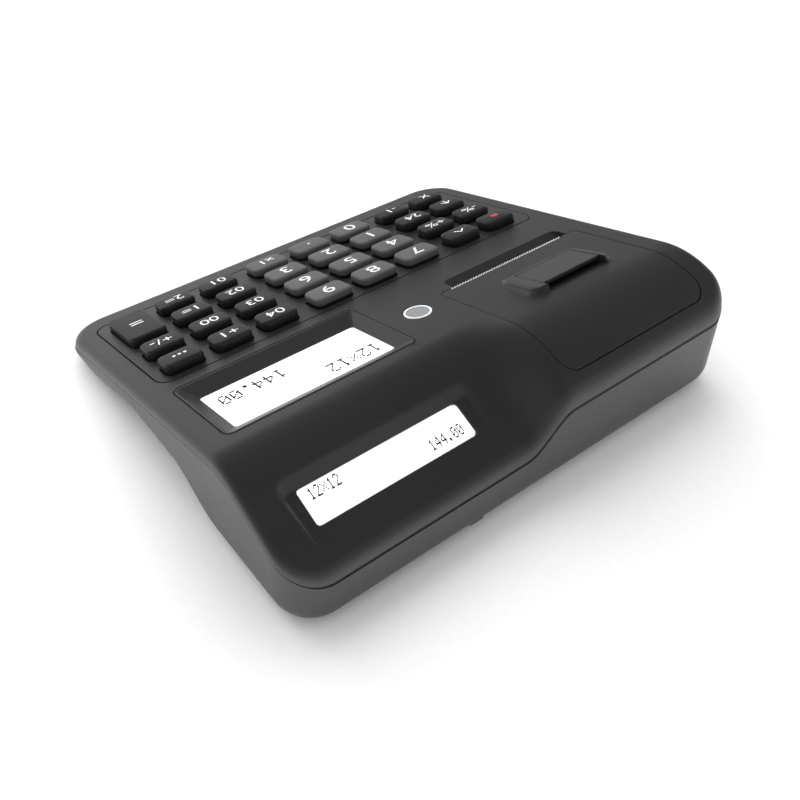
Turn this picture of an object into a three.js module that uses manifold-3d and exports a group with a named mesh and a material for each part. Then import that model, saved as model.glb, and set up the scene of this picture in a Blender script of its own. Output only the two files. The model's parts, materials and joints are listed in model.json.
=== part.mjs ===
// Compact electronic cash register with a built-in receipt printer.
// Millimetres. +X is the operator's right, +Y the rear, +Z up.
// The origin is on the surface the register stands on, under the middle of its box.
import * as THREE from 'three';
import { mergeVertices } from 'three/addons/utils/BufferGeometryUtils.js';
import Module from 'manifold-3d';

const wasm = await Module();
wasm.setup();

// Housing
const caseWidth = 204;
const caseDepth = 183;
const cornerRadius = 17;
const panelAngle = THREE.MathUtils.degToRad(15);
const panelHeight = 33.65; // height of the keypad plane at the middle of the depth
const topWall = 3;
const sideWall = 2.5;
const floorWall = 2;
const shoulderRadius = 4;
const seamDrop = 4; // the seam lies this far under the top surface
const seamStep = 0.5; // the shell is this much narrower than the base
const sideTaper = 2.5; // each side of the shell draws in by this much at the rear
const baseFillet = 3.2;
const footHeight = 1;
const archHeight = 12;
const archFront = 68; // the arch under the base starts this far in front of the middle
const archFlatFront = 14;
const archFlatRear = 13;
const archRear = 40;

// Top surface behind the keypad
const displayCrestStart = 43;
const displayCrestRadius = 20;
const displaySlope = THREE.MathUtils.degToRad(29.5);
const printerCrestStart = 54;
const printerCrestRadius = 38;
const valleyStart = -13;
const valleyEnd = 7;

// Fits
const gap = 0.3; // between pieces that rest on or slide past each other
const coverGap = 0.45;
const overrun = 3; // how far a cutter passes the face that it cuts

// Keypad, measured along the panel plane from the middle of the depth
const rowPitch = 17.05;
const rearRow = -18.7;
const leftColumn = -76.5;
const leftPitch = 20.5;
const middlePitch = 22.6;
const rightPitch = 20.6;
const blockPitch = 24.6;
const darkKeyWidth = 15.6;
const darkKeyDepth = 10.8;
const greyKeyWidth = 17.2;
const greyKeyDepth = 12;
const keyHeight = 4; // above the panel
const capThickness = 1.8;
const capEdge = 0.6; // rounded edge of the cap
const crownRise = 0.35;
const keyCorner = 2;
const skirtInset = 0.25;
const flangeRim = 0.7;
const flangeThickness = 0.9;
const keyTravel = 1.2;
const bezelWidth = 184.2;
const bezelDepth = 71.8;
const bezelMiddle = -45.6;
const bezelCorner = 6;
const bezelThickness = 1.5;
const bezelLedge = 2;
const matThickness = 0.7;
const matRim = 1;
const domeHeight = 0.8;
const domeRadius = 3;
const domeShare = 0.7; // a dome's top against its foot
const boardThickness = 1.6;
const postRadius = 2;
const boardRim = 3;

// Operator's display
const rimLeft = 17.2;
const rimRight = 88.3;
const rimFront = -3.5;
const rimRear = 40.5;
const rimCorner = 3;
const rimLip = 0.8;
const screenLeft = 21.1;
const screenRight = 83.6;
const screenFront = 5.3;
const screenRear = 33.6;
const screenDepth = 3;
const moduleRim = 1.8;
const moduleThickness = 4.5;
const catchRim = 2;
const catchThickness = 1.2;

// Customer's display, on a plane that leans back under the rear slope
const customerAngle = THREE.MathUtils.degToRad(22.9);
const customerY = 71.6;
const customerZ = 33.77;
const customerLeft = 19.1;
const customerRight = 83.45;
const customerHeight = 13.3;
const pocketLeft = 12.7;
const pocketRight = 88.4;
const pocketRear = 11.6;
const pocketFront = 12.4;
const pocketDraft = 2;
const pocketCorner = 3;
const pocketFloor = 2.2;
const windowCorner = 1.5;
const glassRecess = 0.4;
const customerModule = 2.5;

// Printer cover
const coverLeft = -89.6;
const coverRight = -14.8;
const coverFront = 17; // along the panel plane
const coverRear = 84.6; // along the depth
const coverRearGap = 1;
const coverFrontCorner = 2;
const coverRearCorner = 3;
const hingeY = 74;
const hingeZ = 43.5;
const hingePin = 1.3;
const hingeArm = 2.5;
const hingeEye = 2.6;

// Paper slot and tear bar
const slotLeft = -84.5;
const slotRight = -22;
const slotFront = 5;
const slotRear = 15.3;
const slotDepth = 4;
const slotWall = 1.5;
const slotRim = 2.5;
const barLeft = -80.7;
const barRight = -20.6;
const barThickness = 0.8;
const barHeight = 2.6;
const toothPitch = 2;
const toothHeight = 0.6;

// Cover handle and release lever
const handleLeft = -76;
const handleRight = -30.5;
const handleFront = 29.8;
const handleRear = 52;
const handleFrontRise = 0.4;
const handleRearRise = 2.8;
const handleFlank = 3.5;
const handleCorner = 2.5;
const leverLeft = -71;
const leverRight = -41;
const leverPivot = 32.3;
const leverRear = 49;
const leverThickness = 1.6;
const leverBarrel = 1.3;
const leverPin = 0.7;
const leverPinLength = 1.2;
const fingerFront = 40;
const fingerDepth = 2.2;
const fingerSkirt = 4.3;
const tongueWidth = 8;
const tongueFront = 38.2;
const tongueThickness = 1.6;
const tongueDepth = 7;
const tongueSwing = 3.6;

// Printer mechanism
const platenRadius = 4.6;
const platenLeft = -80.5;
const platenRight = -21;
const platenAlong = 21.6;
const platenDepth = 8.2;
const shaftRadius = 1.5;
const bracketWall = 2;
const bracketRadius = 3.4;
const gearModule = 0.5;
const platenTeeth = 18;
const pinionTeeth = 12;
const tipShare = 0.9; // tooth tip above the pitch circle, in modules
const rootShare = 1.25; // tooth root below the pitch circle, in modules
const tipWidthShare = 0.14; // half of a tooth's width at its tip, in tooth pitches
const rootWidthShare = 0.3; // the same at its root
const gearWidth = 2;
const gearBacklash = 0.16;
const motorRadius = 6.5;
const motorLength = 8;
const motorShaft = 1;
const headAngle = THREE.MathUtils.degToRad(20);
const headThickness = 1.5;
const headAbove = 1.4;
const headBelow = 8;
const frameWall = 1.5;
const frameBase = 2;
const frameFront = -1;
const frameHeight = 33;
const catchBar = 2.4;
const catchGap = 1.2;

// Paper roll bucket
const rollRadius = 18;
const rollWidth = 59.7;
const rollY = 52;
const bucketWall = 1.5;
const bucketLip = 30;
const bucketFoot = 8;

// Seal, battery, boards and sockets
const sealX = 0;
const sealAlong = 22;
const sealRadius = 6.25;
const cupWall = 0.7;
const cupDepth = 3.6;
const cupFloor = 2;
const sealBoss = 1.8;
const sealBossDepth = 6.5;
const screwHead = 4;
const screwHeadRise = 0.5;
const screwRadius = 1.5;
const screwLength = 9;
const batteryWidth = 35;
const batteryDepth = 41;
const batteryHeight = 17;
const batteryX = 5.5;
const batteryY = 65;
const batteryCorner = 3;
const mainBoardX = 53.5;
const mainBoardY = 15;
const mainBoardWidth = 83;
const mainBoardDepth = 46;
const mainBoardZ = 18.5;
const postInset = 4;
const recessLeft = 30;
const recessRight = 78.5;
const recessFront = 62;
const recessHeight = 16;
const recessWall = 2;
const notchHeight = 4.9;
const notchShoulder = 6.5;
const powerX = 42;
const powerSize = 9;
const powerBore = 3;
const powerPin = 1;
const dataX = 62;
const dataWidth = 13;
const dataHeight = 9;
const dataWall = 1;
const socketDepth = 11;
const socketZ = 9.5;
const footRadius = 5;
const footX = 86;
const footFrontY = -80.5;
const footRearY = 78;
const footSeat = 0.7;

const halfWidth = caseWidth / 2;
const halfDepth = caseDepth / 2;

// Solids

function solidOf(geometry) {
  const bare = geometry.clone();
  bare.deleteAttribute('normal');
  bare.deleteAttribute('uv');
  const welded = mergeVertices(bare);
  const corners = welded.index.array;
  const triangles = [];
  for (let i = 0; i < corners.length; i += 3) {
    const [a, b, c] = [corners[i], corners[i + 1], corners[i + 2]];
    if (a !== b && b !== c && c !== a) triangles.push(a, b, c);
  }
  return new wasm.Manifold(new wasm.Mesh({
    numProp: 3,
    vertProperties: new Float32Array(welded.attributes.position.array),
    triVerts: new Uint32Array(triangles),
  }));
}

function geometryOf(solid) {
  const { vertProperties, triVerts } = solid.getMesh();
  const geometry = new THREE.BufferGeometry();
  geometry.setAttribute('position', new THREE.BufferAttribute(new Float32Array(vertProperties), 3));
  geometry.setIndex(new THREE.BufferAttribute(new Uint32Array(triVerts), 1));
  geometry.computeVertexNormals();
  return geometry;
}

const panelMatrix = new THREE.Matrix4()
  .makeTranslation(0, 0, panelHeight)
  .multiply(new THREE.Matrix4().makeRotationX(panelAngle));
const customerMatrix = new THREE.Matrix4()
  .makeTranslation(0, customerY, customerZ)
  .multiply(new THREE.Matrix4().makeRotationX(-customerAngle));
const sideways = new THREE.Matrix4().makeBasis(
  new THREE.Vector3(0, 1, 0),
  new THREE.Vector3(0, 0, 1),
  new THREE.Vector3(1, 0, 0),
);

// Points of a rounded rectangle, with the given number of steps in each corner.
function roundedPoints(left, right, front, rear, radius, steps) {
  const points = [];
  const centres = [
    [right - radius, rear - radius],
    [left + radius, rear - radius],
    [left + radius, front + radius],
    [right - radius, front + radius],
  ];
  centres.forEach(([x, y], corner) => {
    for (let step = 0; step <= steps; step += 1) {
      const angle = (corner + step / steps) * (Math.PI / 2);
      points.push(new THREE.Vector2(x + radius * Math.cos(angle), y + radius * Math.sin(angle)));
    }
  });
  return points;
}

function extruded(points, low, high, holes = []) {
  const shape = new THREE.Shape(points);
  shape.holes = holes.map((hole) => new THREE.Path(hole));
  const geometry = new THREE.ExtrudeGeometry(shape, { depth: high - low, bevelEnabled: false });
  return geometry.translate(0, 0, low);
}

function plate(left, right, front, rear, low, high, radius = 0, steps = 2) {
  if (radius > 0) return extruded(roundedPoints(left, right, front, rear, radius, steps), low, high);
  const box = new THREE.BoxGeometry(right - left, rear - front, high - low);
  return box.translate((left + right) / 2, (front + rear) / 2, (low + high) / 2);
}

// A profile drawn across the depth and height, run along the width.
function acrossWidth(points, left, right) {
  return extruded(points, left, right).applyMatrix4(sideways);
}

function rodAlongX(radius, left, right, y, z, sides = 16) {
  const rod = new THREE.CylinderGeometry(radius, radius, right - left, sides);
  return rod.rotateZ(Math.PI / 2).translate((left + right) / 2, y, z);
}

function turned(profile, sides = 18) {
  const points = profile.map(([radius, height]) => new THREE.Vector2(radius, height));
  return new THREE.LatheGeometry(points, sides).rotateX(Math.PI / 2);
}

// A closed body through rings of equal count, the ends closed on a centre point.
function lofted(rings, endRise = 0) {
  const count = rings[0].length;
  const positions = [];
  const triangles = [];
  rings.flat().forEach((point) => positions.push(point.x, point.y, point.z));
  const centreOf = (ring, rise) => {
    const centre = ring.reduce((sum, point) => sum.add(point), new THREE.Vector3());
    centre.divideScalar(ring.length);
    positions.push(centre.x, centre.y, centre.z + rise);
    return positions.length / 3 - 1;
  };
  const bottom = centreOf(rings[0], 0);
  const top = centreOf(rings[rings.length - 1], endRise);
  const lastRing = (rings.length - 1) * count;
  for (let i = 0; i < count; i += 1) {
    const next = (i + 1) % count;
    triangles.push(bottom, next, i, top, lastRing + i, lastRing + next);
    for (let level = 0; level < rings.length - 1; level += 1) {
      const low = level * count;
      const high = low + count;
      triangles.push(low + i, low + next, high + next, low + i, high + next, high + i);
    }
  }
  const geometry = new THREE.BufferGeometry();
  geometry.setAttribute('position', new THREE.Float32BufferAttribute(positions, 3));
  geometry.setIndex(triangles);
  return geometry;
}

// Top surface of the housing

function slopeLine(y) {
  return panelHeight + y * Math.tan(panelAngle);
}

// The panel plane up to a crest, round the crest, then straight down at the end angle.
function crested(y, start, radius, endAngle) {
  if (y <= start) return slopeLine(y);
  const centreY = start + radius * Math.sin(panelAngle);
  const centreZ = slopeLine(start) - radius * Math.cos(panelAngle);
  const endY = centreY + radius * Math.sin(endAngle);
  if (y <= endY) return centreZ + Math.sqrt(radius ** 2 - (y - centreY) ** 2);
  return centreZ + radius * Math.cos(endAngle) - (y - endY) * Math.tan(endAngle);
}

function topHeight(x, y) {
  const share = THREE.MathUtils.smoothstep(x, valleyStart, valleyEnd);
  const printer = crested(y, printerCrestStart, printerCrestRadius, Math.PI / 3);
  const display = crested(y, displayCrestStart, displayCrestRadius, displaySlope);
  return THREE.MathUtils.lerp(printer, display, share);
}

function baseHeight(x, y) {
  const rise = THREE.MathUtils.smoothstep(y, -archFront, -archFlatFront);
  const fall = 1 - THREE.MathUtils.smoothstep(y, archFlatRear, archRear);
  return footHeight + archHeight * Math.min(rise, fall);
}

// Case bodies: stacked rounded outlines, closed above and below by gridded surfaces

const cornerSteps = 3; // in half a corner
const archSteps = 5;
const valleySteps = 4;
const crestSteps = 3;

function spread(from, to, steps) {
  return Array.from({ length: steps + 1 }, (unused, step) => THREE.MathUtils.lerp(from, to, step / steps));
}

const straightX = halfWidth - cornerRadius;
const straightY = halfDepth - cornerRadius;
const displayCrestEnd = displayCrestStart
  + displayCrestRadius * (Math.sin(panelAngle) + Math.sin(displaySlope));
const stationsX = [-straightX, ...spread(valleyStart, valleyEnd, valleySteps), straightX];
const stationsY = [
  -straightY,
  ...spread(-archFront, -archFlatFront, archSteps),
  ...spread(archFlatRear, archRear, crestSteps),
  ...spread(displayCrestStart, displayCrestEnd, crestSteps),
  ...spread(displayCrestEnd, straightY, crestSteps).slice(1),
];

// One side of the outline: a point on the core rectangle and the way outwards from it.
function sideOf(stations, fixed, turn) {
  const half = Math.PI / 4;
  const first = stations[0];
  const last = stations[stations.length - 1];
  const rays = [];
  for (let step = 0; step < cornerSteps; step += 1) {
    rays.push({ along: first, angle: turn - half + (half * step) / cornerSteps });
  }
  stations.forEach((along) => rays.push({ along, angle: turn }));
  for (let step = 1; step < cornerSteps; step += 1) {
    rays.push({ along: last, angle: turn + (half * step) / cornerSteps });
  }
  return rays.map(({ along, angle }) => ({ core: fixed(along), angle }));
}

const backwards = (list) => [...list].reverse();
const rays = [
  ...sideOf(stationsX, (x) => [x, -straightY], -Math.PI / 2),
  ...sideOf(stationsY, (y) => [straightX, y], 0),
  ...sideOf(backwards(stationsX), (x) => [x, straightY], Math.PI / 2),
  ...sideOf(backwards(stationsY), (y) => [-straightX, y], Math.PI),
];
const countX = stationsX.length - 1 + 2 * cornerSteps;
const countY = stationsY.length - 1 + 2 * cornerSteps;

function planPoint(x, y, taper) {
  const back = (y + halfDepth) / caseDepth;
  return new THREE.Vector2(x * (1 - (taper * back) / halfWidth), y);
}

function planRing({ inset, taper }) {
  return rays.map(({ core, angle }) => {
    const reach = cornerRadius - inset;
    return planPoint(core[0] + reach * Math.cos(angle), core[1] + reach * Math.sin(angle), taper);
  });
}

// Inner points of a gridded surface, blended from the four sides of its ring.
function gridPoint(ring, i, j) {
  const front = ring[i];
  const rear = ring[2 * countX + countY - i];
  const right = ring[countX + j];
  const left = ring[(2 * countX + 2 * countY - j) % ring.length];
  const [frontLeft, frontRight] = [ring[0], ring[countX]];
  const [rearRight, rearLeft] = [ring[countX + countY], ring[2 * countX + countY]];
  const s = (front.x - frontLeft.x) / (frontRight.x - frontLeft.x);
  const t = (left.y - frontLeft.y) / (rearLeft.y - frontLeft.y);
  const point = front.clone().lerp(rear, t).add(left.clone().lerp(right, s));
  const frontMix = frontLeft.clone().lerp(frontRight, s);
  return point.sub(frontMix.lerp(rearLeft.clone().lerp(rearRight, s), t));
}

function caseBody(levels) {
  const positions = [];
  const triangles = [];
  const put = (point, height) => {
    positions.push(point.x, point.y, height(point.x, point.y));
    return positions.length / 3 - 1;
  };
  const plans = levels.map(planRing);
  const rings = levels.map((level, index) => plans[index].map((point) => put(point, level.height)));
  const count = rays.length;
  for (let level = 0; level < levels.length - 1; level += 1) {
    const [low, high] = [rings[level], rings[level + 1]];
    for (let i = 0; i < count; i += 1) {
      const next = (i + 1) % count;
      triangles.push(low[i], low[next], high[next], low[i], high[next], high[i]);
    }
  }
  [0, levels.length - 1].forEach((index) => {
    const ring = rings[index];
    const grid = [];
    for (let j = 0; j <= countY; j += 1) {
      const row = [];
      for (let i = 0; i <= countX; i += 1) {
        if (j === 0) row.push(ring[i]);
        else if (j === countY) row.push(ring[2 * countX + countY - i]);
        else if (i === 0) row.push(ring[2 * countX + 2 * countY - j]);
        else if (i === countX) row.push(ring[countX + j]);
        else row.push(put(gridPoint(plans[index], i, j), levels[index].height));
      }
      grid.push(row);
    }
    for (let j = 0; j < countY; j += 1) {
      for (let i = 0; i < countX; i += 1) {
        const [a, b, c, d] = [grid[j][i], grid[j][i + 1], grid[j + 1][i + 1], grid[j + 1][i]];
        if (index === 0) triangles.push(a, c, b, a, d, c);
        else triangles.push(a, b, c, a, c, d);
      }
    }
  });
  const geometry = new THREE.BufferGeometry();
  geometry.setAttribute('position', new THREE.Float32BufferAttribute(positions, 3));
  geometry.setIndex(triangles);
  return solidOf(geometry);
}

const underTop = (drop) => (x, y) => topHeight(x, y) - drop;
const aboveBase = (rise) => (x, y) => baseHeight(x, y) + rise;

function upperBody() {
  const shoulder = spread(0, Math.PI / 2, 4).map((angle) => ({
    inset: seamStep + shoulderRadius * (1 - Math.cos(angle)),
    taper: sideTaper,
    height: underTop(seamDrop - shoulderRadius * Math.sin(angle)),
  }));
  return caseBody(shoulder);
}

function upperHollow() {
  const inset = seamStep + sideWall;
  const corner = shoulderRadius / 2;
  return caseBody([
    { inset, taper: sideTaper, height: underTop(seamDrop + topWall) },
    { inset, taper: sideTaper, height: underTop(topWall + corner / 2) },
    { inset: inset + corner, taper: sideTaper, height: underTop(topWall) },
  ]);
}

function lowerBody() {
  const fillet = spread(0, Math.PI / 2, 3).map((angle) => ({
    inset: baseFillet * (1 - Math.sin(angle)),
    taper: 0,
    height: aboveBase(baseFillet * (1 - Math.cos(angle))),
  }));
  const rim = { inset: seamStep, taper: sideTaper, height: underTop(seamDrop + gap) };
  return caseBody([...fillet, rim]);
}

function lowerHollow() {
  return caseBody([
    { inset: sideWall, taper: 0, height: aboveBase(floorWall) },
    { inset: seamStep + sideWall, taper: sideTaper, height: underTop(seamDrop - overrun) },
  ]);
}

const onPanel = (geometry) => solidOf(geometry.applyMatrix4(panelMatrix));
const onSlope = (geometry) => solidOf(geometry.applyMatrix4(customerMatrix));

// Keys: centre, size and finish of each

const columnsX = [
  leftColumn,
  leftColumn + leftPitch,
  leftColumn + leftPitch + blockPitch,
  leftColumn + leftPitch + blockPitch + middlePitch,
  leftColumn + leftPitch + blockPitch + 2 * middlePitch,
  leftColumn + leftPitch + 2 * blockPitch + 2 * middlePitch,
  leftColumn + leftPitch + 2 * blockPitch + 2 * middlePitch + rightPitch,
  leftColumn + leftPitch + 2 * blockPitch + 2 * middlePitch + 2 * rightPitch,
];
const keyNames = [
  ['red', 'minus_percent', 'shift', 'clear'],
  ['feed', 'plus_percent', 'clock', 'void'],
  ['7', '4', '1', '0'],
  ['8', '5', '2', 'dot'],
  ['9', '6', '3', 'quantity'],
  ['dept_4', 'dept_3', 'dept_2', 'dept_1'],
  ['add', 'lookup', 'pay_1', 'pay_2'],
  ['mode', 'subtotal', 'total'],
];
const keys = keyNames.flatMap((names, column) => names.map((name, row) => {
  const grey = column >= 2 && column <= 4;
  const double = name === 'total';
  return {
    name: `key_${name}`,
    x: columnsX[column],
    y: rearRow - rowPitch * (double ? row + 0.5 : row),
    width: grey ? greyKeyWidth : darkKeyWidth,
    depth: (grey ? greyKeyDepth : darkKeyDepth) + (double ? rowPitch : 0),
    grey,
  };
}));

function keyRing({ x, y, width, depth }, grow, height) {
  const [w, d] = [width / 2 + grow, depth / 2 + grow];
  const corner = Math.max(keyCorner + grow, capEdge);
  const points = roundedPoints(x - w, x + w, y - d, y + d, corner, 1);
  return points.map((point) => new THREE.Vector3(point.x, point.y, height));
}

function keySolid(key) {
  const flangeTop = -bezelThickness - gap;
  const capBottom = keyHeight - capThickness;
  return solidOf(lofted([
    keyRing(key, flangeRim, flangeTop - flangeThickness),
    keyRing(key, flangeRim, flangeTop),
    keyRing(key, -skirtInset, flangeTop),
    keyRing(key, -skirtInset, capBottom - skirtInset),
    keyRing(key, 0, capBottom),
    keyRing(key, 0, keyHeight - capEdge),
    keyRing(key, -capEdge, keyHeight),
  ], crownRise));
}

function keypadBezel() {
  const [w, d] = [bezelWidth / 2, bezelDepth / 2];
  const holes = keys.map(({ x, y, width, depth }) => {
    const [hw, hd] = [width / 2 + gap, depth / 2 + gap];
    return roundedPoints(x - hw, x + hw, y - hd, y + hd, keyCorner + gap, 1);
  });
  const outline = roundedPoints(-w, w, bezelMiddle - d, bezelMiddle + d, bezelCorner, 4);
  return solidOf(extruded(outline, -bezelThickness, 0, holes));
}

const flangeBottom = -bezelThickness - gap - flangeThickness;
const domeTop = flangeBottom - keyTravel - gap;
const matTop = domeTop - domeHeight;
const matBottom = matTop - matThickness;
const keyBoardTop = matBottom - gap;

function keyMat() {
  const [w, d] = [bezelWidth / 2 - bezelLedge - matRim, bezelDepth / 2 - bezelLedge - matRim];
  let mat = solidOf(plate(-w, w, bezelMiddle - d, bezelMiddle + d, matBottom, matTop));
  keys.forEach(({ x, y }) => {
    const top = domeRadius * domeShare;
    const dome = new THREE.CylinderGeometry(top, domeRadius, domeTop - matBottom, 4);
    dome.rotateX(Math.PI / 2).translate(x, y, (domeTop + matBottom) / 2);
    mat = mat.add(solidOf(dome));
  });
  return mat;
}

function keyBoard() {
  const [w, d] = [bezelWidth / 2 + boardRim, bezelDepth / 2 - matRim];
  const bottom = keyBoardTop - boardThickness;
  return solidOf(plate(-w, w, bezelMiddle - d, bezelMiddle + d, bottom, keyBoardTop));
}

// Displays

function operatorBezel() {
  const bottom = -screenDepth;
  const body = solidOf(plate(rimLeft + gap, rimRight - gap, rimFront + gap, rimRear - gap,
    bottom - gap, 0, rimCorner - gap, 3));
  const flange = solidOf(plate(rimLeft - catchRim, rimRight + catchRim, rimFront - catchRim,
    rimRear + catchRim, -topWall - gap - catchThickness, -topWall - gap, rimCorner, 3));
  const funnelRing = (grow, height) => {
    const outer = rimLip + gap;
    const mix = (from, to) => THREE.MathUtils.lerp(from, to, grow);
    const points = roundedPoints(
      mix(screenLeft, rimLeft + outer),
      mix(screenRight, rimRight - outer),
      mix(screenFront, rimFront + outer),
      mix(screenRear, rimRear - outer),
      rimLip + grow,
      2,
    );
    return points.map((point) => new THREE.Vector3(point.x, point.y, height));
  };
  const above = overrun / screenDepth;
  const funnel = solidOf(lofted([
    funnelRing(0, -screenDepth - overrun),
    funnelRing(0, bottom),
    funnelRing(1, 0),
    funnelRing(1 + above * rimLip / screenDepth, overrun),
  ]));
  const seat = solidOf(plate(screenLeft - moduleRim - gap, screenRight + moduleRim + gap,
    screenFront - moduleRim - gap, screenRear + moduleRim + gap, bottom - overrun, bottom));
  return body.add(flange).subtract(seat).subtract(funnel);
}

function operatorDisplay() {
  const top = -screenDepth - gap;
  return solidOf(plate(screenLeft - moduleRim, screenRight + moduleRim,
    screenFront - moduleRim, screenRear + moduleRim, top - moduleThickness, top, windowCorner));
}

function customerPocket() {
  const ring = (grow, height) => {
    const points = roundedPoints(pocketLeft - grow, pocketRight + grow,
      -pocketRear - grow / 2, pocketFront + overrun, pocketCorner, 2);
    return points.map((point) => new THREE.Vector3(point.x, point.y, height));
  };
  const high = shoulderRadius;
  return onSlope(lofted([ring(0, 0), ring(pocketDraft, high), ring(pocketDraft, high * 3)]));
}

function customerBack(body) {
  const slab = onSlope(plate(pocketLeft - topWall, pocketRight + topWall,
    -pocketRear - topWall, pocketFront, -pocketFloor, 0));
  return slab.intersect(body);
}

function customerWindow(clearance, low, high) {
  const radius = windowCorner - clearance / 2;
  return plate(customerLeft + clearance, customerRight - clearance, -customerHeight / 2 + clearance,
    customerHeight / 2 - clearance, low, high, radius, 3);
}

function customerDisplay() {
  const glass = solidOf(customerWindow(gap, -pocketFloor - gap * 2, -glassRecess));
  const back = solidOf(plate(customerLeft - moduleRim, customerRight + moduleRim,
    -customerHeight / 2 - moduleRim, customerHeight / 2 + moduleRim,
    -pocketFloor - gap - customerModule, -pocketFloor - gap));
  return glass.add(back);
}

// Seal: a cup with a screw in it, turned about the panel's normal

const sealFloor = -cupDepth;

function sealCup() {
  const outer = sealRadius - gap;
  const inner = outer - cupWall;
  const hole = screwRadius + gap;
  return solidOf(turned([
    [hole, sealFloor], [outer, sealFloor], [outer, -gap], [inner, -gap],
    [inner, sealFloor + cupDepth - cupFloor], [hole, sealFloor + cupDepth - cupFloor], [hole, sealFloor],
  ]).translate(sealX, sealAlong, 0));
}

function sealScrew() {
  const seat = -cupFloor + gap;
  return solidOf(turned([
    [0, seat - screwLength], [screwRadius, seat - screwLength], [screwRadius, seat],
    [screwHead, seat], [screwHead, seat + screwHeadRise], [0, seat + screwHeadRise],
  ]).translate(sealX, sealAlong, 0));
}

function sealSeat() {
  const outer = sealRadius + sealBoss;
  return turned([
    [screwRadius + gap, -sealBossDepth], [outer, -sealBossDepth], [outer, -topWall / 2],
    [screwRadius + gap, -topWall / 2], [screwRadius + gap, -sealBossDepth],
  ]).translate(sealX, sealAlong, 0);
}

function sealHole() {
  return turned([
    [0, sealFloor - gap], [sealRadius, sealFloor - gap], [sealRadius, overrun], [0, overrun],
  ]).translate(sealX, sealAlong, 0);
}

// Paper slot: a ramp in the housing that runs down to the cover's front edge

function slotBlock() {
  return onPanel(acrossWidth([
    new THREE.Vector2(slotFront - slotRim, -topWall / 2),
    new THREE.Vector2(slotFront - slotRim, -topWall - slotWall / 2),
    new THREE.Vector2(slotRear, -slotDepth - slotWall),
    new THREE.Vector2(slotRear, -topWall / 2),
  ], slotLeft - slotRim, slotRight + slotRim));
}

function slotRamp() {
  const end = slotRear + overrun;
  const slope = slotDepth / (slotRear - slotFront);
  return onPanel(acrossWidth([
    new THREE.Vector2(slotFront, 0),
    new THREE.Vector2(end, -slope * (end - slotFront)),
    new THREE.Vector2(end, overrun),
    new THREE.Vector2(slotFront, overrun),
  ], slotLeft, slotRight));
}

// The cover's outline: its front edge lies square to the panel, its rear edge square to the floor.
function coverPrism(grow, rearGrow, frontAt) {
  const high = caseDepth;
  const outline = roundedPoints(coverLeft - grow, coverRight + grow,
    -halfDepth, coverRear + rearGrow, coverRearCorner + grow, 3);
  const prism = solidOf(extruded(outline, 0, high));
  const front = onPanel(plate(coverLeft - grow, coverRight + grow, frontAt, caseDepth,
    -caseDepth, caseDepth, coverFrontCorner, 2));
  return prism.intersect(front);
}

// Handle with a lever between two end blocks

const handleSlope = (handleRearRise - handleFrontRise) / (handleRear - handleFront);
const handleTop = (along) => handleFrontRise + handleSlope * (along - handleFront);
const leverAxis = handleTop(leverPivot) - leverBarrel;

function handleWedge() {
  const ring = (share, sink) => {
    const draw = handleFlank * share;
    const points = roundedPoints(handleLeft + draw / 2, handleRight - draw, handleFront,
      handleRear - draw / 4, handleCorner, 2);
    return points.map(({ x, y }) => new THREE.Vector3(x, y, sink ? -topWall / 2 : handleTop(y)));
  };
  return onPanel(lofted([ring(0, true), ring(1, false)]));
}

function fingerSeat() {
  return onPanel(plate(leverLeft - bracketWall, leverRight + bracketWall, leverPivot - bracketWall,
    handleRear + bracketWall, -fingerSkirt, -topWall / 2));
}

function fingerHollow() {
  const under = leverThickness + gap;
  const back = handleRear + overrun;
  return onPanel(acrossWidth([
    new THREE.Vector2(leverPivot, leverAxis - under),
    new THREE.Vector2(fingerFront, leverAxis - under),
    new THREE.Vector2(fingerFront + fingerDepth, -fingerDepth),
    new THREE.Vector2(leverRear, -fingerDepth),
    new THREE.Vector2(back, 0),
    new THREE.Vector2(back, overrun * 2),
    new THREE.Vector2(leverPivot, overrun * 2),
  ], leverLeft - gap, leverRight + gap));
}

function leverClearance() {
  const middle = (leverLeft + leverRight) / 2;
  const barrel = solidOf(rodAlongX(leverBarrel + gap, leverLeft - gap, leverRight + gap,
    leverPivot, leverAxis, 12));
  const mouth = solidOf(plate(leverLeft - gap, leverRight + gap,
    leverPivot - leverBarrel - gap, leverPivot, leverAxis, overrun));
  const pins = solidOf(rodAlongX(leverPin + gap, leverLeft - leverPinLength - gap,
    leverRight + leverPinLength + gap, leverPivot, leverAxis, 10));
  const slit = solidOf(plate(middle - tongueWidth / 2 - gap, middle + tongueWidth / 2 + gap,
    tongueFront - gap, tongueFront + tongueThickness + tongueSwing, -fingerSkirt - overrun, 0));
  return barrel.add(mouth).add(pins).add(slit);
}

function releaseLever() {
  const end = handleTop(leverRear);
  const flap = solidOf(acrossWidth([
    new THREE.Vector2(leverPivot, leverAxis + leverBarrel),
    new THREE.Vector2(leverPivot, leverAxis),
    new THREE.Vector2(leverPivot + leverBarrel, leverAxis - leverThickness + leverBarrel),
    new THREE.Vector2(leverRear, end - leverThickness),
    new THREE.Vector2(leverRear, end),
  ], leverLeft, leverRight));
  const barrel = solidOf(rodAlongX(leverBarrel, leverLeft, leverRight, leverPivot, leverAxis, 12));
  const pins = solidOf(rodAlongX(leverPin, leverLeft - leverPinLength, leverRight + leverPinLength,
    leverPivot, leverAxis, 10));
  const middle = (leverLeft + leverRight) / 2;
  const tongue = solidOf(plate(middle - tongueWidth / 2, middle + tongueWidth / 2, tongueFront,
    tongueFront + tongueThickness, -tongueDepth, handleTop(tongueFront) - leverThickness / 2));
  return flap.add(barrel).add(pins).add(tongue);
}

// Places in the printer, in the housing's own directions

function fromPanel(along, above) {
  return {
    y: along * Math.cos(panelAngle) - above * Math.sin(panelAngle),
    z: panelHeight + along * Math.sin(panelAngle) + above * Math.cos(panelAngle),
  };
}

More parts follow.
